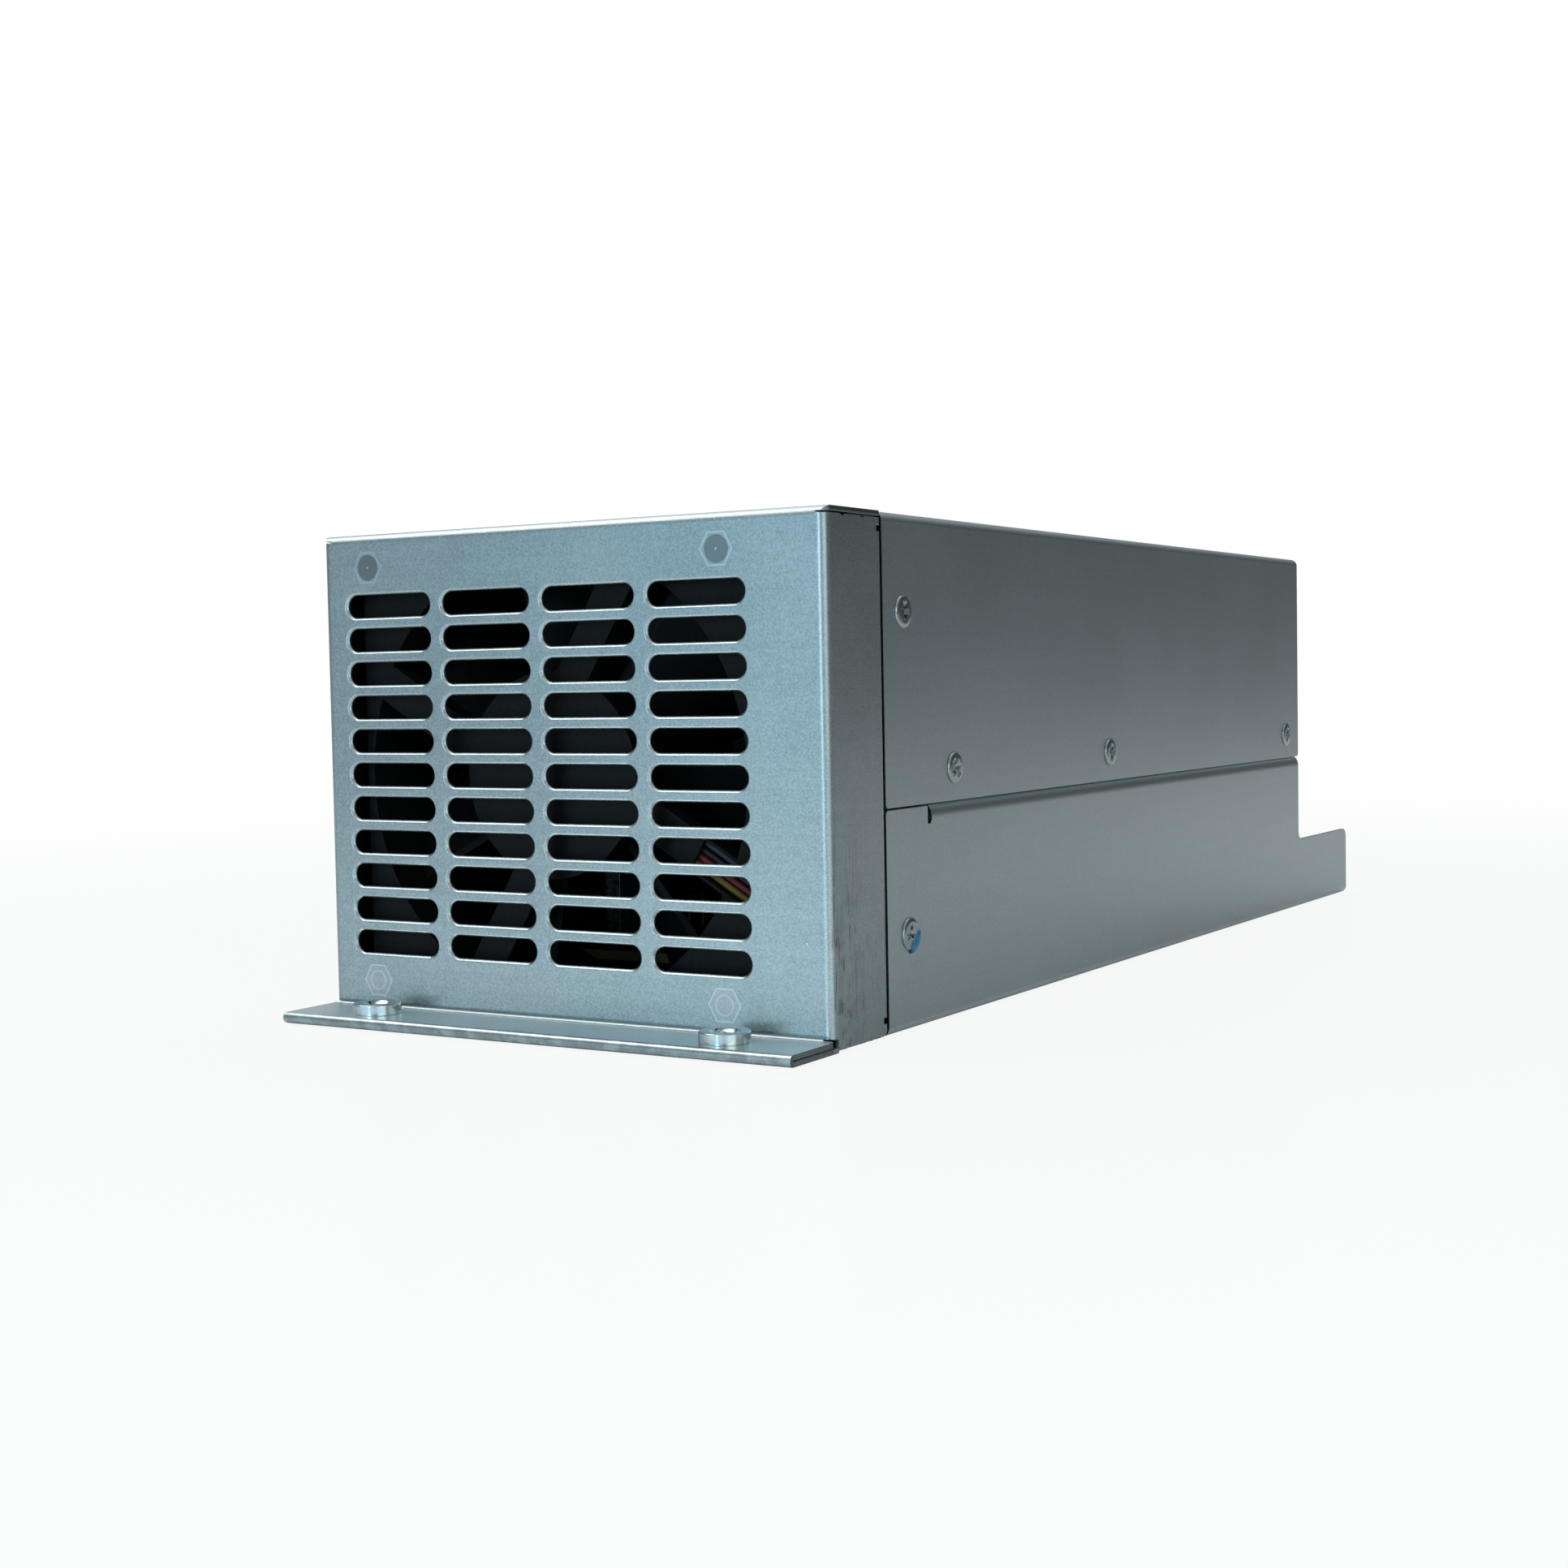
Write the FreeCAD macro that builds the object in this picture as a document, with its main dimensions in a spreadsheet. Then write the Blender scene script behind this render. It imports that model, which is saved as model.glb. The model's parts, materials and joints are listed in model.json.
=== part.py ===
"""Charger power module: a folded sheet steel case with an axial fan behind its slotted front.

Millimetres. X runs across the case, +Y from the grille to the rear, +Z up. The origin is under the
middle of the whole length, on the plane that the case stands on.
"""
import FreeCAD, Part
import math
import os

import Sketcher

SIZES = {
    # Case sheets and how they meet
    "case_width": 117.0,
    "case_height": 96.5,
    "body_length": 261.5,
    "tongue_length": 44.5,
    "tongue_height": 18.9,
    "foot_depth": 15.1,
    "sheet": 1.0,
    "bend_radius": 0.8,
    "hem_gap": 0.2,
    "fold_gap": 0.3,
    "lap_gap": 0.15,
    "seam": 0.9,
    "hood_depth": 19.6,
    "relief": 1.1,
    "tab_margin": 3.8,
    "cover_edge": 42.1,
    "edge_gap": 0.35,
    "joggle_height": 2.8,
    "joggle_radius": 1.0,
    "lap_height": 12.0,
    "slit_place": 16.7,
    "slit_width": 1.6,
    "tab_clearance": 0.6,
    "corner_radius": 1.0,
    "notch_radius": 2.5,
    "rear_flange": 17.0,
    "rear_clearance": 3.0,
    "rear_slot_rows": 8,
    # Grille in the front panel
    "slot_width": 4.42,
    "slot_bar": 3.18,
    "slot_columns": 4,
    "slot_rows": 11,
    "grille_side": 11.61,
    "grille_margin": 5.44,
    "grille_shift": -5.5,
    "grille_rise": 0.35,
    # Case screws, standoffs and clinch nuts
    "screw_diameter": 3.0,
    "screw_head": 6.2,
    "screw_head_height": 1.7,
    "head_rim_share": 0.45,
    "head_shoulder_share": 0.85,
    "head_shoulder_reach": 0.38,
    "head_crown_reach": 0.2,
    "screw_hole": 3.4,
    "case_screw_length": 6.0,
    "cover_front_screw": 7.75,
    "cover_front_screw_drop": 18.2,
    "tray_screw": 8.6,
    "tray_screw_height": 18.2,
    "lap_screw_rise": 6.3,
    "lap_screw_first": 28.2,
    "lap_screw_second": 106.1,
    "rear_screw_inset": 10.7,
    "thread_gap": 0.03,
    "thread_end_gap": 0.2,
    "clinch_gap": 0.02,
    "nut_diameter": 6.3,
    "nut_height": 1.5,
    "standoff_flats": 6.35,
    "standoff_barrel": 5.4,
    "standoff_floor": 1.2,
    "foot_nut_spacing": 81.0,
    "foot_nut_inset": 7.6,
    "foot_nut_diameter": 9.5,
    "foot_nut_height": 2.1,
    "foot_nut_shank": 6.3,
    "foot_nut_bore": 4.2,
    "foot_nut_chamfer": 0.6,
    # Fan
    "fan_setback": 4.0,
    "fan_side_gap": 2.25,
    "fan_depth": 38.0,
    "fan_corner": 4.0,
    "fan_flange": 4.5,
    "fan_rim": 1.5,
    "fan_wall": 1.3,
    "fan_hole_inset": 4.75,
    "fan_hole": 4.3,
    "motor_disc": 40.0,
    "motor_disc_depth": 3.0,
    "strut_count": 4,
    "strut_depth": 4.0,
    "strut_wall": 0.7,
    "strut_offset": 5.0,
    "bearing_tube": 10.0,
    "bearing_tube_length": 27.0,
    "bearing_diameter": 8.0,
    "bearing_length": 4.0,
    "bearing_spacing": 19.0,
    "shaft_diameter": 3.0,
    "running_gap": 0.03,
    "shaft_end_gap": 0.3,
    "hub_diameter": 38.0,
    "hub_wall": 2.7,
    "hub_front": 5.0,
    "hub_rear_gap": 1.5,
    "hub_boss": 8.0,
    "hub_boss_length": 6.0,
    "blade_count": 7,
    "blade_tip_gap": 0.8,
    "blade_thickness": 1.4,
    "blade_camber": 2.6,
    "blade_root_sweep": 13.0,
    "blade_tip_sweep": 27.0,
    "blade_inset": 2.5,
    "blade_root_depth": 2.1,
    "stator_diameter": 27.0,
    "stator_length": 15.0,
    "stator_inset": 5.0,
    "stator_slots": 4,
    "stator_slot_width": 3.0,
    "magnet_thickness": 1.9,
    "magnet_length": 19.0,
    "fan_lead_angle": -31.0,
    "lead_diameter": 1.3,
    "lead_pitch": 1.5,
    "lead_bend": 2.5,
    "lead_inset": 5.0,
    "lead_cover": 1.0,
    "lead_cover_end": 36.0,
    "lead_side_gap": 6.0,
    # Main board
    "standoff_height": 6.0,
    "board_thickness": 2.0,
    "board_side_gap": 3.0,
    "board_fan_gap": 5.0,
    "board_rear_gap": 3.0,
    "board_hole_inset": 5.0,
    "board_screw_length": 6.0,
    "insulator_thickness": 0.4,
    "insulator_hole_gap": 0.5,
    "header_place": 12.5,
    "header_height": 5.0,
    "header_width": 5.6,
    "header_end": 1.0,
    "plug_height": 3.5,
    # Heat sinks and what is screwed to them
    "zone_gap": 8.0,
    "heatsink_place": 19.0,
    "heatsink_share": 0.514,
    "heatsink_height": 58.0,
    "heatsink_base": 4.0,
    "fin_thickness": 1.6,
    "fin_count": 8,
    "heatsink_wall_gap": 6.5,
    "device_clearance": 5.8,
    "device_height": 20.0,
    "device_depth": 5.0,
    "device_rise": 8.0,
    "device_hole_drop": 6.0,
    "device_count": 4,
    "device_gap": 1.5,
    "device_margin": 4.0,
    "device_screw_length": 7.5,
    "leg_pitch": 5.45,
    "leg_width": 1.2,
    "leg_thickness": 0.7,
    "device_legs": 3,
    "bridge_legs": 4,
    "bridge_share": 0.22,
    "bridge_depth": 4.0,
    # Magnetics and capacitors on the main board
    "choke_share": 0.43,
    "choke_hole": 16.0,
    "choke_height": 22.0,
    "choke_bevel": 4.0,
    "core_width": 46.0,
    "core_height": 42.0,
    "core_share": 0.28,
    "core_leg": 9.0,
    "core_centre_leg": 14.0,
    "core_yoke": 8.0,
    "winding_gap": 0.4,
    "overhang_share": 0.08,
    "winding_radius": 4.0,
    "part_gap": 5.0,
    "bulk_share": 0.154,
    "bulk_height": 50.0,
    "bulk_gap": 4.0,
    "bulk_count": 3,
    "bulk_crimp": 1.0,
    "bulk_crimp_height": 5.0,
    "can_radius": 1.5,
    "control_side_gap": 12.5,
    "control_height": 38.0,
    "control_thickness": 1.6,
    "control_header_height": 2.5,
    "control_header_depth": 5.0,
    "chip_size": 12.0,
    "chip_thickness": 1.8,
    "chip_count": 3,
    "filter_share": 0.1645,
    "filter_choke_hole": 12.0,
    "filter_choke_height": 18.0,
    "film_width": 11.0,
    "film_end_gap": 5.0,
    "film_height": 20.0,
    "film_pitch": 14.5,
    "relay_width": 13.0,
    "relay_end_gap": 3.0,
    "relay_height": 16.0,
    "edge_radius": 0.8,
    "output_can_height": 26.0,
    "output_can_gap": 2.0,
    "row_side_gap": 3.5,
    # Rear tongue
    "terminal_count": 5,
    "terminal_depth": 18.0,
    "terminal_base": 9.0,
    "terminal_step": 3.5,
    "terminal_back": 6.0,
    "terminal_wall": 1.6,
    "terminal_wall_rise": 6.0,
    "terminal_inset": 3.0,
    "plate_thickness": 1.2,
    "plate_gap": 0.6,
    "terminal_screw": 4.0,
    "terminal_screw_head": 7.4,
    "terminal_screw_head_height": 2.4,
    "terminal_screw_length": 6.0,
    "connector_width": 20.0,
    "connector_depth": 9.0,
    "connector_height": 9.0,
    "connector_wall": 1.2,
    "connector_floor": 2.0,
    "fuse_diameter": 6.3,
    "fuse_length": 30.0,
    "fuse_cap_length": 6.0,
    "fuse_step": 0.3,
    "fuse_gap": 5.4,
    "fuse_rise": 0.8,
    "clip_thickness": 0.6,
    "clip_length": 5.0,
    "clip_height": 5.6,
}

# Sizes that the sheet works out, so that neighbours keep their clearances
FOLLOWING = {
    # The fan fills the case's height, and the grille lies between its screws.
    "grille_height": "case_height / 2 + grille_rise",
    "fan_size": "case_height - 2 * fan_side_gap",
    "fan_bore": "fan_size - 2 * fan_rim",
    "fan_hole_pitch": "fan_size - 2 * fan_hole_inset",
    "slot_length": "(case_width - 2 * grille_side + slot_bar) / slot_columns - slot_bar",
    "slot_pitch_x": "slot_length + slot_bar",
    "slot_pitch_z": "(fan_hole_pitch - 2 * grille_margin - slot_width) / (slot_rows - 1)",
    "cover_front_screw_height": "case_height - cover_front_screw_drop",
    # The board's parts share the length from the fan's plug to the rear panel.
    "board_width": "case_width - 2 * sheet - 2 * board_side_gap",
    "bay_length": "body_length - fan_setback - fan_depth - board_fan_gap - heatsink_place - sheet",
    "heatsink_length": "bay_length * heatsink_share",
    "choke_diameter": "heatsink_length * choke_share",
    "core_depth": "heatsink_length * core_share",
    "winding_overhang": "heatsink_length * overhang_share",
    "bridge_width": "heatsink_length * bridge_share",
    "device_pitch": "(heatsink_length - 2 * device_margin - bridge_width) / device_count",
    "device_width": "device_pitch - device_gap",
    "heatsink_face": "choke_diameter / 2 + device_depth + screw_head_height + device_clearance",
    "fin_length": "case_width / 2 - sheet - heatsink_wall_gap - heatsink_base - heatsink_face",
    "bulk_diameter": "bay_length * bulk_share",
    "bulk_pitch": "bulk_diameter + bulk_gap",
    "control_width": "board_width - 2 * control_side_gap",
    "chip_pitch": "control_width / (chip_count + 1)",
    "filter_choke_diameter": "bay_length * filter_share",
    "film_depth": "filter_choke_diameter - film_end_gap",
    "relay_depth": "filter_choke_diameter - relay_end_gap",
    "output_can_diameter": "filter_choke_diameter / 2 - output_can_gap",
    "output_can_pitch": "output_can_diameter + output_can_gap",
    "filter_parts": "filter_choke_diameter + film_pitch + film_width + relay_width + output_can_diameter",
    "filter_gap": "(board_width - 2 * row_side_gap - filter_parts) / 3",
    # The terminals fill the tongue's width beside the fuse.
    "terminal_room": "board_width - 2 * row_side_gap - fuse_length - fuse_gap",
    "terminal_pitch": "(terminal_room - terminal_wall) / terminal_count",
}

doc = FreeCAD.newDocument("charger_power_module")
dims = doc.addObject("Spreadsheet::Sheet", "dims")
cells = {alias: str(size) for alias, size in SIZES.items()}
cells.update({alias: f"={formula}" for alias, formula in FOLLOWING.items()})
for row, (alias, content) in enumerate(cells.items(), 1):
    dims.set(f"A{row}", alias)
    dims.set(f"B{row}", content)
    dims.setAlias(f"B{row}", alias)
doc.recompute()

Vector = FreeCAD.Vector
Rotation = FreeCAD.Rotation
FACING_RIGHT = Rotation(Vector(0, 1, 0), 90)
FACING_LEFT = Rotation(Vector(0, 1, 0), -90)
FACING_REAR = Rotation(Vector(1, 0, 0), -90)
UPRIGHT = Rotation()
SIDES = (("1", FACING_RIGHT), ("-1", FACING_LEFT))
NORMAL = {"XY_Plane": 1, "XZ_Plane": -1, "YZ_Plane": 1}
LEADS = ("yellow", "red", "black", "blue")

# Places that follow from the sizes: sides and heights
half_width = "(dims.case_width / 2)"
inner_x = f"({half_width} - dims.sheet)"
lap_outer = f"({inner_x} - dims.lap_gap)"
lap_inner = f"({lap_outer} - dims.sheet)"
rear_outer = f"({lap_inner} - dims.lap_gap)"
outer_bend = "(dims.sheet + dims.bend_radius)"
foot_top = "(2 * dims.sheet + dims.hem_gap)"
joggle_start = "(dims.cover_edge - dims.joggle_height)"
lap_top = "(dims.cover_edge + dims.lap_height)"
lap_screw_height = "(dims.cover_edge + dims.lap_screw_rise)"
board_bottom = "(dims.sheet + dims.standoff_height)"
board_top = f"({board_bottom} + dims.board_thickness)"
board_half = "(dims.board_width / 2)"

# Places that follow from the sizes: along the case, from the grille to the rear
front_y = "((dims.foot_depth - dims.body_length - dims.tongue_length) / 2)"
hood_y = f"({front_y} + dims.hood_depth)"
cover_y = f"({hood_y} + dims.seam)"
slit_y = f"({cover_y} + dims.slit_place)"
tab_end_y = f"({slit_y} - dims.tab_clearance)"
cover_end_y = f"({front_y} + dims.body_length)"
tray_end_y = f"({cover_end_y} + dims.tongue_length)"
fan_y = f"({front_y} + dims.fan_setback)"
board_y = f"({fan_y} + dims.fan_depth + dims.board_fan_gap)"
board_end_y = f"({tray_end_y} - dims.board_rear_gap)"
header_y = f"({board_y} + dims.header_place)"
heatsink_y = f"({board_y} + dims.heatsink_place)"
heatsink_end_y = f"({heatsink_y} + dims.heatsink_length)"
transformer_y = f"({heatsink_y} + dims.choke_diameter + dims.part_gap)"
winding_depth = "(dims.core_depth + 2 * dims.winding_overhang)"
transformer_end_y = f"({transformer_y} + {winding_depth})"
middle_screw_y = f"(max({heatsink_end_y}; {transformer_end_y}) + dims.zone_gap / 2)"
bulk_y = f"({middle_screw_y} + dims.zone_gap / 2)"
control_y = f"({bulk_y} + dims.bulk_diameter + dims.part_gap)"
filter_y = f"({control_y} + dims.control_header_depth + dims.part_gap)"
terminal_y = f"({cover_end_y} + dims.terminal_inset)"


def number(expression):
    """Value of an expression on the sheet."""
    return float(dims.evalExpression(expression))


def new_body(label, x="0", y="0", z="0"):
    """Body whose own origin stands at the given place."""
    body = doc.addObject("PartDesign::Body", label)
    body.Label = label
    for axis, expression in zip("xyz", (x, y, z)):
        body.setExpression(f"Placement.Base.{axis}", expression)
    return body


def origin_feature(body, role):
    """Origin plane or axis of a body."""
    return next(item for item in body.Origin.OriginFeatures if item.Role == role)


def new_sketch(body, name, plane, place="0", turn="0"):
    """Sketch on an origin plane, moved along the model's axis and turned about its own normal."""
    sketch = body.newObject("Sketcher::SketchObject", name)
    sketch.AttachmentSupport = [(origin_feature(body, plane), "")]
    sketch.MapMode = "FlatFace"
    sketch.AttachmentOffset = FreeCAD.Placement(Vector(), Rotation(Vector(0, 0, 1), number(turn)))
    sketch.setExpression("AttachmentOffset.Base.z", f"{NORMAL[plane]} * ({place})")
    if turn != "0":
        sketch.setExpression("AttachmentOffset.Rotation.Angle", turn)
    return sketch


def bind(sketch, kind, *args, value):
    """Constraint whose value is an expression."""
    index = sketch.addConstraint(Sketcher.Constraint(kind, *args, number(value)))
    sketch.setExpression(f"Constraints[{index}]", value)


def pin(sketch, geometry, point, x, y):
    """Holds a point of the geometry at x, y."""
    bind(sketch, "DistanceX", -1, 1, geometry, point, value=x)
    bind(sketch, "DistanceY", -1, 1, geometry, point, value=y)


def outline(sketch, corners):
    """Closed outline of straight lines."""
    points = [Vector(number(x), number(y), 0) for x, y in corners]
    count = len(points)
    first = sketch.GeometryCount
    for index in range(count):
        sketch.addGeometry(Part.LineSegment(points[index], points[(index + 1) % count]))
    for index, (x, y) in enumerate(corners):
        line = first + index
        following = first + (index + 1) % count
        sketch.addConstraint(Sketcher.Constraint("Coincident", line, 2, following, 1))
        pin(sketch, line, 1, x, y)


def rectangle(sketch, left, low, right, high):
    outline(sketch, [(left, low), (right, low), (right, high), (left, high)])


def circle(sketch, x, y, radius):
    centre = Vector(number(x), number(y), 0)
    index = sketch.addGeometry(Part.Circle(centre, Vector(0, 0, 1), number(radius)))
    pin(sketch, index, 3, x, y)
    bind(sketch, "Radius", index, value=radius)


def hexagon(sketch, x, y, flats):
    """Hexagon with two corners on the horizontal line through its centre."""
    reach = f"({flats}) / 2 / cos(30)"
    half = f"({flats}) / 2"
    outline(sketch, [
        (f"{x} + {reach}", y),
        (f"{x} + {reach} / 2", f"{y} + {half}"),
        (f"{x} - {reach} / 2", f"{y} + {half}"),
        (f"{x} - {reach}", y),
        (f"{x} - {reach} / 2", f"{y} - {half}"),
        (f"{x} + {reach} / 2", f"{y} - {half}"),
    ])


def slot(sketch, x, y, length, width):
    """Long hole with full round ends."""
    radius = f"({width}) / 2"
    reach = f"(({length}) - ({width})) / 2"
    left_centre = Vector(number(f"{x} - {reach}"), number(y), 0)
    right_centre = Vector(number(f"{x} + {reach}"), number(y), 0)
    up = Vector(0, number(radius), 0)
    normal = Vector(0, 0, 1)
    quarter = math.pi / 2
    first = sketch.GeometryCount
    left, right, top, bottom = range(first, first + 4)
    sketch.addGeometry(Part.ArcOfCircle(Part.Circle(left_centre, normal, up.Length), quarter, 3 * quarter))
    sketch.addGeometry(Part.ArcOfCircle(Part.Circle(right_centre, normal, up.Length), -quarter, quarter))
    sketch.addGeometry(Part.LineSegment(left_centre + up, right_centre + up))
    sketch.addGeometry(Part.LineSegment(left_centre - up, right_centre - up))
    for arc, arc_point, line, line_point in (
        (left, 1, top, 1), (left, 2, bottom, 1), (right, 2, top, 2), (right, 1, bottom, 2),
    ):
        sketch.addConstraint(Sketcher.Constraint("Tangent", arc, arc_point, line, line_point))
    pin(sketch, left, 3, f"{x} - {reach}", y)
    bind(sketch, "Radius", left, value=radius)
    bind(sketch, "DistanceX", -1, 1, right, 3, value=f"{x} + {reach}")


def pad(body, sketch, length, direction):
    """Adds material from the sketch along the model's axis, or to both sides where direction is 0."""
    feature = body.newObject("PartDesign::Pad", f"{sketch.Name}_pad")
    feature.Profile = sketch
    feature.setExpression("Length", length)
    feature.Midplane = direction == 0
    feature.Reversed = direction * NORMAL[sketch.AttachmentSupport[0][0].Role] < 0
    doc.recompute()
    return feature


def pocket(body, sketch, length=None, direction=0):
    """Cuts the sketch along the model's axis, right through where no length is given."""
    before = body.Shape.Volume
    feature = body.newObject("PartDesign::Pocket", f"{sketch.Name}_pocket")
    feature.Profile = sketch
    if length is None:
        feature.Type = "ThroughAll"
    else:
        feature.setExpression("Length", length)
    feature.Midplane = direction == 0
    feature.Reversed = direction * NORMAL[sketch.AttachmentSupport[0][0].Role] > 0
    doc.recompute()
    if body.Shape.Volume >= before:
        raise RuntimeError(f"{feature.Name} in {body.Label} cuts nothing")
    return feature


def revolve(body, sketch, axis):
    """Turns the sketch once round one of its own axes."""
    feature = body.newObject("PartDesign::Revolution", f"{sketch.Name}_turned")
    feature.Profile = sketch
    feature.ReferenceAxis = (sketch, [axis])
    feature.Angle = 360
    doc.recompute()
    return feature


def repeat(body, features, *rows):
    """Repeats features in rows along the body's axes, each row an axis, a count and a pitch."""
    patterns = []
    for axis, count, pitch in rows:
        pattern = body.newObject("PartDesign::LinearPattern", f"{features[0].Name}_row")
        pattern.Direction = (origin_feature(body, axis), [""])
        pattern.Mode = "Spacing"
        pattern.setExpression("Offset", pitch)
        pattern.setExpression("Occurrences", count)
        patterns.append(pattern)
    whole = body.newObject("PartDesign::MultiTransform", f"{features[0].Name}_rows")
    whole.Originals = features
    whole.Transformations = patterns
    body.Tip = whole
    doc.recompute()
    return whole


def ring(body, features, count):
    """Repeats features round the body's Y axis."""
    pattern = body.newObject("PartDesign::PolarPattern", f"{features[0].Name}_ring")
    pattern.Originals = features
    pattern.Axis = (origin_feature(body, "Y_Axis"), [""])
    pattern.Angle = 360
    pattern.setExpression("Occurrences", count)
    body.Tip = pattern
    doc.recompute()
    return pattern


def mirror(body, features):
    """Repeats features on the other side of the body's YZ plane."""
    copy = body.newObject("PartDesign::Mirrored", f"{features[0].Name}_mirror")
    copy.Originals = features
    copy.MirrorPlane = (origin_feature(body, "YZ_Plane"), [""])
    body.Tip = copy
    doc.recompute()
    return copy


def edges_at(body, **place):
    """Names of the straight edges whose ends lie at the given coordinates."""
    wanted = {axis: number(expression) for axis, expression in place.items()}
    names = []
    for index, edge in enumerate(body.Tip.Shape.Edges, 1):
        ends = [vertex.Point for vertex in edge.Vertexes]
        straight = isinstance(edge.Curve, Part.Line)
        if straight and all(abs(getattr(end, axis) - value) < 0.001
                            for end in ends for axis, value in wanted.items()):
            names.append(f"Edge{index}")
    if not names:
        raise RuntimeError(f"no edge of {body.Label} lies at {wanted}")
    return names


def round_edges(body, radius, *places):
    """Fillets the straight edges at the given places."""
    base = body.Tip
    names = [name for place in places for name in edges_at(body, **place)]
    feature = body.newObject("PartDesign::Fillet", "rounded")
    feature.Base = (base, names)
    feature.setExpression("Radius", radius)
    doc.recompute()
    return feature


def copies(label, template, places):
    """One node of separate copies of a template, each at its place and turned."""
    links = []
    for x, y, z, rotation in places:
        link = doc.addObject("App::Link", f"{label}_copy")
        link.LinkedObject = template
        link.Placement = FreeCAD.Placement(Vector(), rotation)
        for axis, expression in zip("xyz", (x, y, z)):
            link.setExpression(f"Placement.Base.{axis}", expression)
        links.append(link)
    group = doc.addObject("Part::Compound", label)
    group.Label = label
    group.Links = links
    return group


# Case sheets

def case_screw_places(*kinds):
    """Y and Z of the screws in one side of the case, by what they hold."""
    places = {
        "hood": [(f"{cover_y} + dims.cover_front_screw", "dims.cover_front_screw_height")],
        "lap": [(f"{cover_y} + dims.lap_screw_first", lap_screw_height),
                (f"{cover_y} + dims.lap_screw_second", lap_screw_height)],
        "rear": [(f"{cover_end_y} - dims.rear_screw_inset", lap_screw_height)],
        "tray": [(f"{cover_y} + dims.tray_screw", "dims.tray_screw_height")],
    }
    return [place for kind in kinds for place in places[kind]]


def drill_sides(body, name, places):
    """Screw holes through both sides of a folded sheet."""
    sketch = new_sketch(body, name, "YZ_Plane")
    for y, z in places:
        circle(sketch, y, z, "dims.screw_hole / 2")
    pocket(body, sketch)


def front_panel():
    """Front sheet: slotted face, top and bottom flanges, hemmed foot, side flanges with joggled tabs."""
    body = new_body("front_panel")
    profile = new_sketch(body, "front_profile", "YZ_Plane")
    toe_y = f"({front_y} - dims.foot_depth)"
    inside_y = f"({front_y} + dims.sheet)"
    hem_height = "(dims.sheet + dims.hem_gap)"
    under_top = "(dims.case_height - dims.sheet)"
    outline(profile, [
        (hood_y, "dims.case_height"),
        (front_y, "dims.case_height"),
        (front_y, foot_top),
        (toe_y, foot_top),
        (toe_y, "0"),
        (hood_y, "0"),
        (hood_y, "dims.sheet"),
        (f"{toe_y} + dims.sheet", "dims.sheet"),
        (f"{toe_y} + dims.sheet", hem_height),
        (inside_y, hem_height),
        (inside_y, under_top),
        (hood_y, under_top),
    ])
    pad(body, profile, "dims.case_width", 0)
    round_edges(body, outer_bend, {"y": front_y, "z": "dims.case_height"}, {"y": inside_y, "z": hem_height})
    round_edges(body, "dims.bend_radius", {"y": front_y, "z": foot_top}, {"y": inside_y, "z": under_top})
    round_edges(body, f"{foot_top} / 2 - dims.clinch_gap",
                {"y": toe_y, "z": foot_top}, {"y": toe_y, "z": "0"})

    # The square corners make way for the side bends and their reliefs.
    corner = new_sketch(body, "corner_cut", "XZ_Plane", f"{front_y} - dims.fold_gap")
    bend_x = f"({half_width} - {outer_bend} - dims.fold_gap)"
    side_low = f"({foot_top} + dims.fold_gap)"
    side_high = f"({under_top} - dims.fold_gap)"
    rectangle(corner, bend_x, hem_height, f"{half_width} + dims.sheet", under_top)
    cut = pocket(body, corner, f"{outer_bend} + 2 * dims.fold_gap", 1)
    mirror(body, [cut])

    side = new_sketch(body, "side_flange", "XY_Plane", side_low)
    outline(side, [
        (bend_x, front_y),
        (half_width, front_y),
        (half_width, hood_y),
        (inner_x, hood_y),
        (inner_x, inside_y),
        (bend_x, inside_y),
    ])
    flange = pad(body, side, f"{side_high} - {side_low}", 1)
    lower = new_sketch(body, "flange_end", "XY_Plane", "dims.sheet + dims.fold_gap")
    rectangle(lower, inner_x, f"{front_y} + {outer_bend}", half_width, hood_y)
    flange_end = pad(body, lower, f"{side_low} - dims.sheet - dims.fold_gap", 1)
    mirror(body, [flange, flange_end])
    for sign in ("1", "-1"):
        round_edges(body, outer_bend, {"x": f"{sign} * {half_width}", "y": front_y})
        round_edges(body, "dims.bend_radius", {"x": f"{sign} * {inner_x}", "y": inside_y})

    # Tabs that step inwards and run on behind the cover and the tray.
    tab_low = "dims.tab_margin"
    tab_high = "(dims.case_height - dims.tab_margin)"
    step_y = f"({cover_y} - dims.lap_gap)"
    tab = new_sketch(body, "tab", "XY_Plane", tab_low)
    outline(tab, [
        (half_width, hood_y),
        (lap_outer, step_y),
        (lap_outer, tab_end_y),
        (lap_inner, tab_end_y),
        (lap_inner, step_y),
        (inner_x, hood_y),
    ])
    tab_pad = pad(body, tab, f"{tab_high} - {tab_low}", 1)
    mirror(body, [tab_pad])
    notches = new_sketch(body, "tab_reliefs", "YZ_Plane")
    for low in (f"{tab_low} - dims.relief", tab_high):
        rectangle(notches, f"{hood_y} - dims.relief", low, f"{hood_y} + dims.relief", f"{low} + dims.relief")
    pocket(body, notches)
    drill_sides(body, "tab_holes", case_screw_places("hood", "tray"))

    slots = new_sketch(body, "grille_slot", "XZ_Plane", front_y)
    first_x = "dims.grille_shift - (dims.slot_columns - 1) / 2 * dims.slot_pitch_x"
    first_z = "dims.grille_height - (dims.slot_rows - 1) / 2 * dims.slot_pitch_z"
    slot(slots, first_x, first_z, "dims.slot_length", "dims.slot_width")
    cut = pocket(body, slots, "dims.sheet", 1)
    repeat(body, [cut], ("X_Axis", "dims.slot_columns", "dims.slot_pitch_x"),
           ("Z_Axis", "dims.slot_rows", "dims.slot_pitch_z"))

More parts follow.
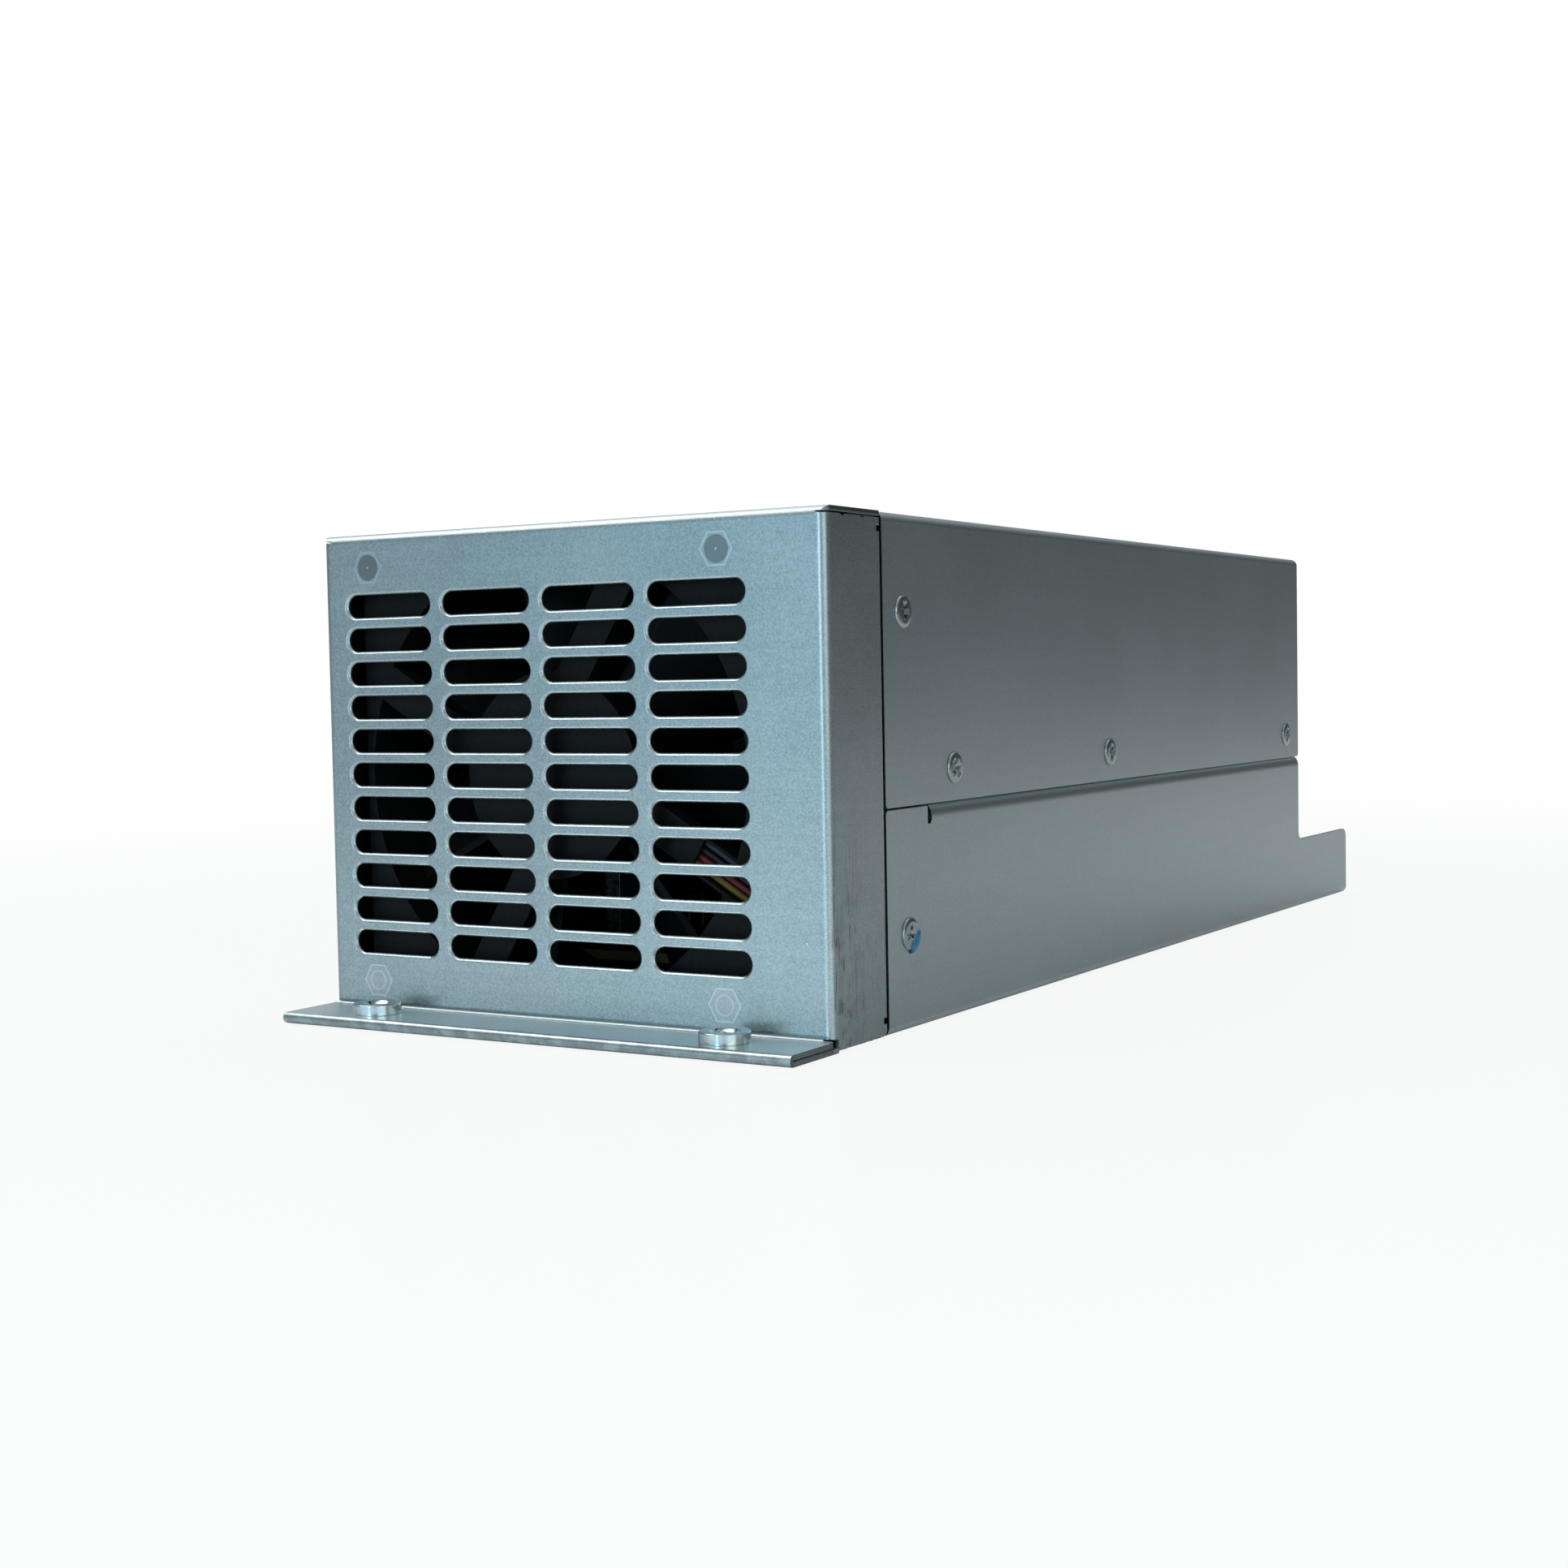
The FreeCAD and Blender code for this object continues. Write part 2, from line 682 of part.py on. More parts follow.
    seats = new_sketch(body, "standoff_seat", "XZ_Plane", front_y)
    hexagon(seats, "dims.grille_shift - dims.fan_hole_pitch / 2",
            "dims.grille_height - dims.fan_hole_pitch / 2", "dims.standoff_flats + 2 * dims.clinch_gap")
    cut = pocket(body, seats, "dims.sheet", 1)
    repeat(body, [cut], ("X_Axis", "2", "dims.fan_hole_pitch"), ("Z_Axis", "2", "dims.fan_hole_pitch"))

    nut_holes = new_sketch(body, "foot_nut_holes", "XY_Plane", foot_top)
    for sign in ("1", "-1"):
        circle(nut_holes, f"{sign} * dims.foot_nut_spacing / 2", f"{front_y} - dims.foot_nut_inset",
               "dims.foot_nut_shank / 2 + dims.clinch_gap")
    pocket(body, nut_holes, foot_top, -1)
    return body


def chassis_tray():
    """Lower case sheet: floor, side walls joggled in behind the cover, low tongue at the rear."""
    body = new_body("chassis_tray")
    profile = new_sketch(body, "tray_profile", "XZ_Plane", cover_y)
    right_side = [
        (half_width, "0"),
        (half_width, joggle_start),
        (lap_outer, "dims.cover_edge"),
        (lap_outer, lap_top),
        (lap_inner, lap_top),
        (lap_inner, "dims.cover_edge"),
        (inner_x, joggle_start),
        (inner_x, "dims.sheet"),
    ]
    outline(profile, right_side + [(f"-{x}", z) for x, z in reversed(right_side)])
    pad(body, profile, f"{tray_end_y} - {cover_y}", 1)
    signs = ("1", "-1")
    round_edges(body, outer_bend, *[{"x": f"{s} * {half_width}", "z": "0"} for s in signs])
    round_edges(body, "dims.bend_radius", *[{"x": f"{s} * {inner_x}", "z": "dims.sheet"} for s in signs])
    joggle = [(half_width, joggle_start), (inner_x, joggle_start),
              (lap_outer, "dims.cover_edge"), (lap_inner, "dims.cover_edge")]
    round_edges(body, "dims.joggle_radius", *[{"x": f"{s} * {x}", "z": z} for s in signs for x, z in joggle])

    front = new_sketch(body, "lap_cut", "YZ_Plane")
    rectangle(front, f"{cover_y} - dims.sheet", f"{joggle_start} - dims.joggle_radius",
              f"{slit_y} + dims.slit_width", f"{lap_top} + dims.sheet")
    pocket(body, front)
    wall = new_sketch(body, "flush_wall", "YZ_Plane", inner_x)
    rectangle(wall, cover_y, f"{joggle_start} - dims.joggle_radius",
              slit_y, "dims.cover_edge - dims.edge_gap")
    flush = pad(body, wall, "dims.sheet", 1)
    mirror(body, [flush])
    round_edges(body, "dims.corner_radius", {"y": cover_y, "z": "dims.cover_edge - dims.edge_gap"})

    rear = new_sketch(body, "rear_notch", "YZ_Plane")
    rectangle(rear, cover_end_y, "dims.tongue_height",
              f"{tray_end_y} + dims.sheet", f"{lap_top} + dims.sheet")
    pocket(body, rear)
    round_edges(body, "dims.notch_radius", {"y": cover_end_y, "z": "dims.tongue_height"},
                {"y": tray_end_y, "z": "dims.tongue_height"})
    drill_sides(body, "tray_holes", case_screw_places("lap", "rear", "tray"))

    seats = new_sketch(body, "floor_seats", "XY_Plane", "0")
    for x, y in board_fixings():
        hexagon(seats, x, y, "dims.standoff_flats + 2 * dims.clinch_gap")
    pocket(body, seats, "dims.sheet", 1)
    return body


def top_cover():
    """Upper case sheet: top and both upper sides."""
    body = new_body("top_cover")
    profile = new_sketch(body, "cover_profile", "XZ_Plane", cover_y)
    under_top = "(dims.case_height - dims.sheet)"
    right_side = [
        (inner_x, under_top),
        (inner_x, "dims.cover_edge"),
        (half_width, "dims.cover_edge"),
        (half_width, "dims.case_height"),
    ]
    outline(profile, right_side + [(f"-{x}", z) for x, z in reversed(right_side)])
    pad(body, profile, f"{cover_end_y} - {cover_y}", 1)
    signs = ("1", "-1")
    round_edges(body, outer_bend, *[{"x": f"{s} * {half_width}", "z": "dims.case_height"} for s in signs])
    round_edges(body, "dims.bend_radius", *[{"x": f"{s} * {inner_x}", "z": under_top} for s in signs])
    round_edges(body, "dims.corner_radius", {"y": cover_y, "z": "dims.cover_edge"},
                {"y": cover_end_y, "z": "dims.cover_edge"})
    drill_sides(body, "cover_holes", case_screw_places("hood", "lap", "rear"))
    return body


def rear_panel():
    """Vented sheet that closes the rear above the board, with flanges along the tray's laps."""
    body = new_body("rear_panel")
    low = f"({board_top} + dims.rear_clearance)"
    high = "(dims.case_height - dims.sheet - dims.fold_gap)"
    profile = new_sketch(body, "rear_profile", "XY_Plane", low)
    inside_x = f"({rear_outer} - dims.sheet)"
    inside_y = f"({cover_end_y} - dims.sheet)"
    right_side = [
        (inside_x, inside_y),
        (inside_x, f"{cover_end_y} - dims.rear_flange"),
        (rear_outer, f"{cover_end_y} - dims.rear_flange"),
        (rear_outer, cover_end_y),
    ]
    outline(profile, right_side + [(f"-{x}", y) for x, y in reversed(right_side)])
    pad(body, profile, f"{high} - {low}", 1)
    signs = ("1", "-1")
    round_edges(body, outer_bend, *[{"x": f"{s} * {rear_outer}", "y": cover_end_y} for s in signs])
    round_edges(body, "dims.bend_radius", *[{"x": f"{s} * {inside_x}", "y": inside_y} for s in signs])
    drill_sides(body, "rear_holes", case_screw_places("rear"))
    slots = new_sketch(body, "rear_slot", "XZ_Plane", cover_end_y)
    first_x = "-(dims.slot_columns - 1) / 2 * dims.slot_pitch_x"
    first_z = f"({low} + {high}) / 2 - (dims.rear_slot_rows - 1) / 2 * dims.slot_pitch_z"
    slot(slots, first_x, first_z, "dims.slot_length", "dims.slot_width")
    cut = pocket(body, slots, "dims.sheet", -1)
    repeat(body, [cut], ("X_Axis", "dims.slot_columns", "dims.slot_pitch_x"),
           ("Z_Axis", "dims.rear_slot_rows", "dims.slot_pitch_z"))
    return body


# Fasteners

def pan_screw(name, diameter, head, head_height, length):
    """Pan head screw that stands head up, its seat at the origin."""
    body = new_body(name)
    profile = new_sketch(body, f"{name}_profile", "XZ_Plane")
    outline(profile, [
        ("0", f"-({length})"),
        (f"{diameter} / 2", f"-({length})"),
        (f"{diameter} / 2", "0"),
        (f"{head} / 2", "0"),
        (f"{head} / 2", f"{head_height} * dims.head_rim_share"),
        (f"{head} * dims.head_shoulder_reach", f"{head_height} * dims.head_shoulder_share"),
        (f"{head} * dims.head_crown_reach", head_height),
        ("0", head_height),
    ])
    revolve(body, profile, "V_Axis")
    return body


def small_screw(name, length):
    return pan_screw(name, "dims.screw_diameter", "dims.screw_head", "dims.screw_head_height", length)


def clinch_nut(name):
    """Round nut that stands on its sheet."""
    body = new_body(name)
    profile = new_sketch(body, f"{name}_profile", "XY_Plane")
    circle(profile, "0", "0", "dims.nut_diameter / 2")
    circle(profile, "0", "0", "dims.screw_diameter / 2 + dims.thread_gap")
    pad(body, profile, "dims.nut_height", 1)
    return body


def clinch_standoff(name, height):
    """Standoff with its hexagon head flush in the sheet and a blind thread from the far end."""
    body = new_body(name)
    head = new_sketch(body, f"{name}_head", "XY_Plane")
    hexagon(head, "0", "0", "dims.standoff_flats")
    pad(body, head, "dims.sheet", 1)
    barrel = new_sketch(body, f"{name}_barrel", "XY_Plane")
    circle(barrel, "0", "0", "dims.standoff_barrel / 2")
    pad(body, barrel, height, 1)
    bore = new_sketch(body, f"{name}_bore", "XY_Plane", height)
    circle(bore, "0", "0", "dims.screw_diameter / 2 + dims.thread_gap")
    pocket(body, bore, f"{height} - dims.standoff_floor", -1)
    return body


def foot_nut():
    """Round clinch nut whose seat on the foot is at the origin and whose shank ends flush below it."""
    body = new_body("foot_nut")
    profile = new_sketch(body, "foot_nut_profile", "XZ_Plane")
    bore = "dims.foot_nut_bore / 2"
    flare = f"{bore} + dims.foot_nut_chamfer"
    outline(profile, [
        (bore, f"-{foot_top}"),
        ("dims.foot_nut_shank / 2", f"-{foot_top}"),
        ("dims.foot_nut_shank / 2", "0"),
        ("dims.foot_nut_diameter / 2", "0"),
        ("dims.foot_nut_diameter / 2", "dims.foot_nut_height"),
        (flare, "dims.foot_nut_height"),
        (bore, "dims.foot_nut_height - dims.foot_nut_chamfer"),
    ])
    revolve(body, profile, "V_Axis")
    return body


def sided(places, x):
    """The same places on both sides of the case, facing outwards."""
    return [(f"{sign} * {x}", y, z, rotation) for sign, rotation in SIDES for y, z in places]


def board_fixings():
    """X and Y of the main board's standoffs."""
    reach = f"({board_half} - dims.board_hole_inset)"
    rows = (f"{board_y} + dims.board_hole_inset", middle_screw_y, f"{board_end_y} - dims.board_hole_inset")
    return [(f"{sign} * {reach}", y) for y in rows for sign in ("1", "-1")]


def fasteners():
    """All the groups of screws, nuts and standoffs."""
    case_screw = small_screw("case_screw", "dims.case_screw_length")
    board_screw = small_screw("board_screw", "dims.board_screw_length")
    thread_depth = "(dims.fan_setback - dims.standoff_floor - dims.thread_end_gap)"
    fan_screw = small_screw("fan_screw", f"dims.fan_flange + {thread_depth}")
    nut = clinch_nut("clinch_nut")
    fan_standoff = clinch_standoff("fan_standoff", "dims.fan_setback")
    board_standoff = clinch_standoff("board_standoff", board_bottom)

    cover_places = case_screw_places("hood", "lap", "rear")
    lap_places = case_screw_places("hood", "lap", "tray")
    rear_inner = f"({rear_outer} - dims.sheet)"
    nut_places = sided(lap_places, f"({lap_inner} - dims.nut_height)")
    nut_places += sided(case_screw_places("rear"), f"({rear_inner} - dims.nut_height)")
    reach = "dims.fan_hole_pitch / 2"
    fan_corners = [(f"dims.grille_shift + {i} * {reach}", f"dims.grille_height + {j} * {reach}")
                   for i in ("1", "-1") for j in ("1", "-1")]
    return [
        copies("cover_screws", case_screw, sided(cover_places, half_width)),
        copies("tray_screws", case_screw, sided(case_screw_places("tray"), half_width)),
        copies("clinch_nuts", nut, nut_places),
        copies("foot_nuts", foot_nut(), [
            (f"{sign} * dims.foot_nut_spacing / 2", f"{front_y} - dims.foot_nut_inset", foot_top, UPRIGHT)
            for sign in ("1", "-1")]),
        copies("fan_standoffs", fan_standoff, [(x, front_y, z, FACING_REAR) for x, z in fan_corners]),
        copies("fan_screws", fan_screw, [
            (x, f"{fan_y} + dims.fan_flange", z, FACING_REAR) for x, z in fan_corners]),
        copies("board_standoffs", board_standoff, [(x, y, "0", UPRIGHT) for x, y in board_fixings()]),
        copies("board_screws", board_screw, [(x, y, board_top, UPRIGHT) for x, y in board_fixings()]),
    ]


# Fan: each body stands at the middle of the fan's front face, its axis along Y

def fan_body(label):
    return new_body(label, "dims.grille_shift", fan_y, "dims.grille_height")


def fan_frame():
    """Square frame with two flanges round a duct, motor base on four swept struts, bearing tube.

    One strut hides the leads behind a thin front cover as far as the middle of the duct.
    """
    body = fan_body("fan_frame")
    half = "dims.fan_size / 2"
    block = new_sketch(body, "frame_block", "XZ_Plane")
    rectangle(block, f"-{half}", f"-{half}", half, half)
    pad(body, block, "dims.fan_depth", 1)
    round_edges(body, "dims.fan_corner", *[{"x": f"{i} * {half}", "z": f"{j} * {half}"}
                                           for i in ("1", "-1") for j in ("1", "-1")])
    waist = new_sketch(body, "frame_waist", "XZ_Plane", "dims.fan_flange")
    rectangle(waist, "-dims.fan_size", "-dims.fan_size", "dims.fan_size", "dims.fan_size")
    circle(waist, "0", "0", "dims.fan_bore / 2 + dims.fan_wall")
    pocket(body, waist, "dims.fan_depth - 2 * dims.fan_flange", 1)
    bore = new_sketch(body, "frame_bore", "XZ_Plane")
    circle(bore, "0", "0", "dims.fan_bore / 2")
    pocket(body, bore)

    strut = new_sketch(body, "strut", "XZ_Plane", "0", "dims.fan_lead_angle")
    strut_half = f"({lead_row} / 2 + dims.strut_wall)"
    rectangle(strut, "0", f"dims.strut_offset - {strut_half}",
              "dims.fan_bore / 2 + dims.fan_wall / 2", f"dims.strut_offset + {strut_half}")
    first_strut = pad(body, strut, "dims.strut_depth", 1)
    ring(body, [first_strut], "dims.strut_count")
    disc = new_sketch(body, "motor_base", "XZ_Plane")
    circle(disc, "0", "0", "dims.motor_disc / 2")
    pad(body, disc, "dims.motor_disc_depth", 1)
    tube = new_sketch(body, "bearing_tube", "XZ_Plane")
    circle(tube, "0", "0", "dims.bearing_tube / 2")
    pad(body, tube, "dims.bearing_tube_length", 1)
    seat = new_sketch(body, "bearing_seat", "XZ_Plane", "dims.bearing_tube_length")
    circle(seat, "0", "0", "dims.bearing_diameter / 2 + dims.clinch_gap")
    pocket(body, seat, "dims.bearing_tube_length - dims.motor_disc_depth", -1)

    row_low = f"dims.strut_offset - {lead_row} / 2"
    row_high = f"dims.strut_offset + {lead_row} / 2"
    covered = new_sketch(body, "covered_channel", "XZ_Plane", "dims.strut_depth", "dims.fan_lead_angle")
    rectangle(covered, lead_start, row_low, "dims.lead_cover_end", row_high)
    pocket(body, covered, "dims.strut_depth - dims.lead_cover", -1)
    channel = new_sketch(body, "open_channel", "XZ_Plane", "0", "dims.fan_lead_angle")
    rectangle(channel, "dims.lead_cover_end", row_low, "dims.fan_size", row_high)
    pocket(body, channel, "dims.lead_cover + dims.lead_pitch", 1)
    holes = new_sketch(body, "frame_hole", "XZ_Plane")
    circle(holes, "dims.fan_hole_pitch / 2", "dims.fan_hole_pitch / 2", "dims.fan_hole / 2")
    hole = pocket(body, holes)
    ring(body, [hole], "4")
    return body


def blade_section(body, name, height, sweep):
    """Thin cambered section across the radius: two arcs closed by the leading and trailing edges."""
    sketch = new_sketch(body, name, "XY_Plane", height)
    front = "(dims.hub_front + dims.blade_inset)"
    back = "(dims.fan_depth - dims.hub_rear_gap - dims.blade_inset)"
    chord_squared = f"(({sweep})^2 + ({back} - {front})^2)"
    radius = f"({chord_squared} / 8 / dims.blade_camber + dims.blade_camber / 2)"
    lean = Vector(number(f"{back} - {front}"), number(f"-({sweep})"), 0).normalize()
    for shift in ("0", "dims.blade_thickness"):
        ends = [(f"-({sweep}) / 2 + {shift}", front), (f"({sweep}) / 2 + {shift}", back)]
        low, high = [Vector(number(x), number(y), 0) for x, y in ends]
        crown = (low + high) / 2 + lean * number("dims.blade_camber")
        arc = sketch.addGeometry(Part.Arc(low, crown, high))
        swapped = (sketch.Geometry[arc].StartPoint - low).Length > 0.001
        for (x, y), point in zip(ends, (2, 1) if swapped else (1, 2)):
            pin(sketch, arc, point, x, y)
        bind(sketch, "Radius", arc, value=radius)
    for point in (1, 2):
        edge = Part.LineSegment(*[getattr(sketch.Geometry[arc], ("StartPoint", "EndPoint")[point - 1])
                                  for arc in (0, 1)])
        line = sketch.addGeometry(edge)
        sketch.addConstraint(Sketcher.Constraint("Coincident", line, 1, 0, point))
        sketch.addConstraint(Sketcher.Constraint("Coincident", line, 2, 1, point))
    return sketch


def fan_impeller():
    """Hub cup, open towards the motor base, with twisted blades trimmed to the duct."""
    body = fan_body("fan_impeller")
    hub = new_sketch(body, "hub", "YZ_Plane")
    outer = "dims.hub_diameter / 2"
    inner = f"({outer} - dims.hub_wall)"
    hub_back = "(dims.fan_depth - dims.hub_rear_gap)"
    outline(hub, [
        ("dims.hub_front", inner),
        ("dims.hub_front", outer),
        (hub_back, outer),
        (hub_back, "dims.shaft_diameter / 2"),
        (f"{hub_back} - dims.hub_wall - dims.hub_boss_length", "dims.shaft_diameter / 2"),
        (f"{hub_back} - dims.hub_wall - dims.hub_boss_length", "dims.hub_boss / 2"),
        (f"{hub_back} - dims.hub_wall", "dims.hub_boss / 2"),
        (f"{hub_back} - dims.hub_wall", inner),
    ])
    revolve(body, hub, "H_Axis")
    root_height = f"({outer} - dims.blade_root_depth)"
    root = blade_section(body, "blade_root", root_height, "dims.blade_root_sweep")
    tip = blade_section(body, "blade_tip", "dims.fan_bore / 2", "dims.blade_tip_sweep")
    blade = body.newObject("PartDesign::AdditiveLoft", "blade")
    blade.Profile = root
    blade.Sections = [tip]
    doc.recompute()
    ring(body, [blade], "dims.blade_count")
    trim = new_sketch(body, "tip_trim", "XZ_Plane")
    circle(trim, "0", "0", "dims.fan_bore / 2 - dims.blade_tip_gap")
    circle(trim, "0", "0", "dims.fan_size")
    pocket(body, trim)
    return body


def turned_ring(label, inner, outer, start, length):
    """Plain ring on the fan's axis."""
    body = fan_body(label)
    profile = new_sketch(body, f"{label}_profile", "XZ_Plane", start)
    circle(profile, "0", "0", outer)
    circle(profile, "0", "0", inner)
    pad(body, profile, length, 1)
    return body


def fan_motor():
    """Shaft, bearings, stator and magnet ring inside the hub."""
    shaft = doc.addObject("Part::Cylinder", "fan_shaft")
    hub_back = "(dims.fan_depth - dims.hub_rear_gap)"
    shaft_start = "(dims.motor_disc_depth + dims.shaft_end_gap)"
    shaft.setExpression("Radius", "dims.shaft_diameter / 2")
    shaft.setExpression("Height", f"{hub_back} - {shaft_start}")
    shaft.Placement = FreeCAD.Placement(Vector(), FACING_REAR)
    shaft_place = ("dims.grille_shift", f"{fan_y} + {shaft_start}", "dims.grille_height")
    for axis, expression in zip("xyz", shaft_place):
        shaft.setExpression(f"Placement.Base.{axis}", expression)

    bearings = turned_ring("fan_bearings", "dims.shaft_diameter / 2 + dims.running_gap",
                           "dims.bearing_diameter / 2", "dims.motor_disc_depth", "dims.bearing_length")
    repeat(bearings, [bearings.Tip], ("Y_Axis", "2", "dims.bearing_spacing"))

    stator_start = "(dims.hub_front + dims.stator_inset)"
    stator = turned_ring("fan_stator", "dims.bearing_tube / 2 + dims.clinch_gap", "dims.stator_diameter / 2",
                         stator_start, "dims.stator_length")
    gaps = new_sketch(stator, "stator_slot", "XZ_Plane", stator_start)
    half_gap = "dims.stator_slot_width / 2"
    rectangle(gaps, "dims.bearing_tube / 2 + dims.stator_slot_width", f"-{half_gap}",
              "dims.stator_diameter", half_gap)
    gap = pocket(stator, gaps, "dims.stator_length", 1)
    ring(stator, [gap], "dims.stator_slots")

    hub_inner = "(dims.hub_diameter / 2 - dims.hub_wall)"
    magnet = turned_ring("fan_magnet", f"{hub_inner} - dims.magnet_thickness", hub_inner,
                         "dims.hub_front + dims.blade_inset", "dims.magnet_length")
    return [shaft, bearings, stator, magnet]


lead_row = f"({len(LEADS)} * dims.lead_pitch)"
lead_start = "(dims.motor_disc / 2 - dims.lead_inset)"
lead_corner_x = "(dims.grille_shift + dims.fan_size / 2 + dims.lead_side_gap)"
plug_top = f"({board_top} + dims.header_height + dims.plug_height)"


def fan_lead(label, place):
    """One lead: along its strut, back past the fan and down into the plug, with round bends."""
    radius = number("dims.lead_diameter") / 2
    bend = number("dims.lead_bend")
    angle = math.radians(number("dims.fan_lead_angle"))
    along = Vector(math.cos(angle), 0, math.sin(angle))
    across = Vector(-math.sin(angle), 0, math.cos(angle))
    offset = number("dims.strut_offset")
    shift = (place - (len(LEADS) - 1) / 2) * number("dims.lead_pitch")
    lead_y = number(f"{fan_y} + dims.lead_cover + dims.lead_pitch / 2")
    centre = Vector(number("dims.grille_shift"), lead_y, number("dims.grille_height"))
    lane = centre + across * (offset + shift)
    start = lane + along * (number(lead_start) + radius)
    reach = number("dims.fan_size / 2 + dims.lead_side_gap")
    first = lane + along * ((reach - across.x * offset) / along.x)
    second = Vector(first.x, number(header_y) + shift, first.z)
    end = Vector(second.x, second.y, number(plug_top))
    points = [start, first, second, end]
    edges = []
    here = start
    for before, corner, after in zip(points, points[1:], points[2:]):
        into = (corner - before).normalize()
        out = (after - corner).normalize()
        arc_start = corner - into * bend
        arc_end = corner + out * bend
        middle = arc_start + out * bend
        crown = middle + (corner - middle).normalize() * bend
        edges.append(Part.LineSegment(here, arc_start).toShape())
        edges.append(Part.Arc(arc_start, crown, arc_end).toShape())
        here = arc_end
    edges.append(Part.LineSegment(here, end).toShape())
    path = Part.Wire(edges)
    section = Part.Wire(Part.makeCircle(radius, start, along))
    lead = doc.addObject("Part::Feature", label)
    lead.Shape = path.makePipeShell([section], True, False)
    lead.Placement = FreeCAD.Placement()
    drawn = math.pi * radius ** 2 * path.Length
    share = lead.Shape.Volume / drawn
    print(f"{label}: {path.Length:.1f} mm long, bends {bend:.1f} mm, volume {share:.4f} of drawn")
    return lead


def block(label, x, y, z, size):
    """Plain upright block with its low corner at x, y, z."""
    box = doc.addObject("Part::Box", label)
    for name, expression in zip(("Length", "Width", "Height"), size):
        box.setExpression(name, expression)
    for axis, expression in zip("xyz", (x, y, z)):
        box.setExpression(f"Placement.Base.{axis}", expression)
    return box


def fan_connector():
    """Header on the board and the plug on it, with the leads in a row along Y."""
    row = f"({lead_row} + 2 * dims.header_end)"
    x = f"{lead_corner_x} - dims.header_width / 2"
    y = f"{header_y} - {row} / 2"
    header = block("fan_header", x, y, board_top, ("dims.header_width", row, "dims.header_height"))
    plug = block("fan_plug", x, y, f"{board_top} + dims.header_height",
                 ("dims.header_width", row, "dims.plug_height"))
    return [header, plug]


# Main board and what stands on it

def main_board():
    body = new_body("main_board", z=board_bottom)
    sketch = new_sketch(body, "board_outline", "XY_Plane")
    rectangle(sketch, f"-{board_half}", board_y, board_half, board_end_y)
    for x, y in board_fixings():
        circle(sketch, x, y, "dims.screw_hole / 2")
    pad(body, sketch, "dims.board_thickness", 1)
    return body


def insulating_sheet():
    body = new_body("insulating_sheet", z="dims.sheet")
    sketch = new_sketch(body, "insulator_outline", "XY_Plane")
    rectangle(sketch, f"-{board_half}", board_y, board_half, board_end_y)
    for x, y in board_fixings():
        circle(sketch, x, y, "dims.standoff_barrel / 2 + dims.insulator_hole_gap")
    pad(body, sketch, "dims.insulator_thickness", 1)
    return body


def device_places(count):
    """Distances along a heat sink at which its devices are screwed on."""
    first = "(dims.device_margin + dims.device_width / 2)"
    return [f"({first} + {index} * dims.device_pitch)" for index in range(count)]


bridge_place = "(dims.heatsink_length - dims.device_margin - dims.bridge_width / 2)"
device_hole_height = "(dims.device_rise + dims.device_height - dims.device_hole_drop)"


def heatsink(label, sign, places):
    """Extruded heat sink: upright base with a comb of fins towards the case wall."""
    body = new_body(label, "0", heatsink_y, board_top)
    base = new_sketch(body, f"{label}_base", "XZ_Plane")
    face = f"{sign} * dims.heatsink_face"
    root = f"{sign} * (dims.heatsink_face + dims.heatsink_base)"
    tip = f"{sign} * (dims.heatsink_face + dims.heatsink_base + dims.fin_length)"
    rectangle(base, face, "0", root, "dims.heatsink_height")
    pad(body, base, "dims.heatsink_length", 1)
    fin_sketch = new_sketch(body, f"{label}_fin", "XZ_Plane")
    rectangle(fin_sketch, root, "0", tip, "dims.fin_thickness")
    fin = pad(body, fin_sketch, "dims.heatsink_length", 1)
    fin_pitch = "(dims.heatsink_height - dims.fin_thickness) / (dims.fin_count - 1)"
    repeat(body, [fin], ("Z_Axis", "dims.fin_count", fin_pitch))
    holes = new_sketch(body, f"{label}_holes", "YZ_Plane", face)
    for place in places:
        circle(holes, place, device_hole_height, "dims.screw_diameter / 2 + dims.thread_gap")
    pocket(body, holes, "dims.heatsink_base", int(sign))
    return body


def devices(label, sign, width, depth, legs, places):
    """Flat power packages on a heat sink's face, each with a screw hole and legs down to the board."""
    body = new_body(label, "0", heatsink_y, board_top)
    face = f"{sign} * dims.heatsink_face"
    inwards = -int(sign)
    package = new_sketch(body, f"{label}_package", "YZ_Plane", face)
    leg = new_sketch(body, f"{label}_leg", "YZ_Plane", f"{face} - {sign} * {depth} / 2")
    for place in places:
        rectangle(package, f"{place} - {width} / 2", "dims.device_rise",
                  f"{place} + {width} / 2", "dims.device_rise + dims.device_height")
        circle(package, place, device_hole_height, "dims.screw_hole / 2")
        for index in range(legs):
            middle = f"({place} + ({index} - {legs - 1} / 2) * dims.leg_pitch)"
            rectangle(leg, f"{middle} - dims.leg_width / 2", "0", f"{middle} + dims.leg_width / 2",
                      "dims.device_rise + dims.leg_width")
    pad(body, package, depth, inwards)
    pad(body, leg, "dims.leg_thickness", inwards)
    return body


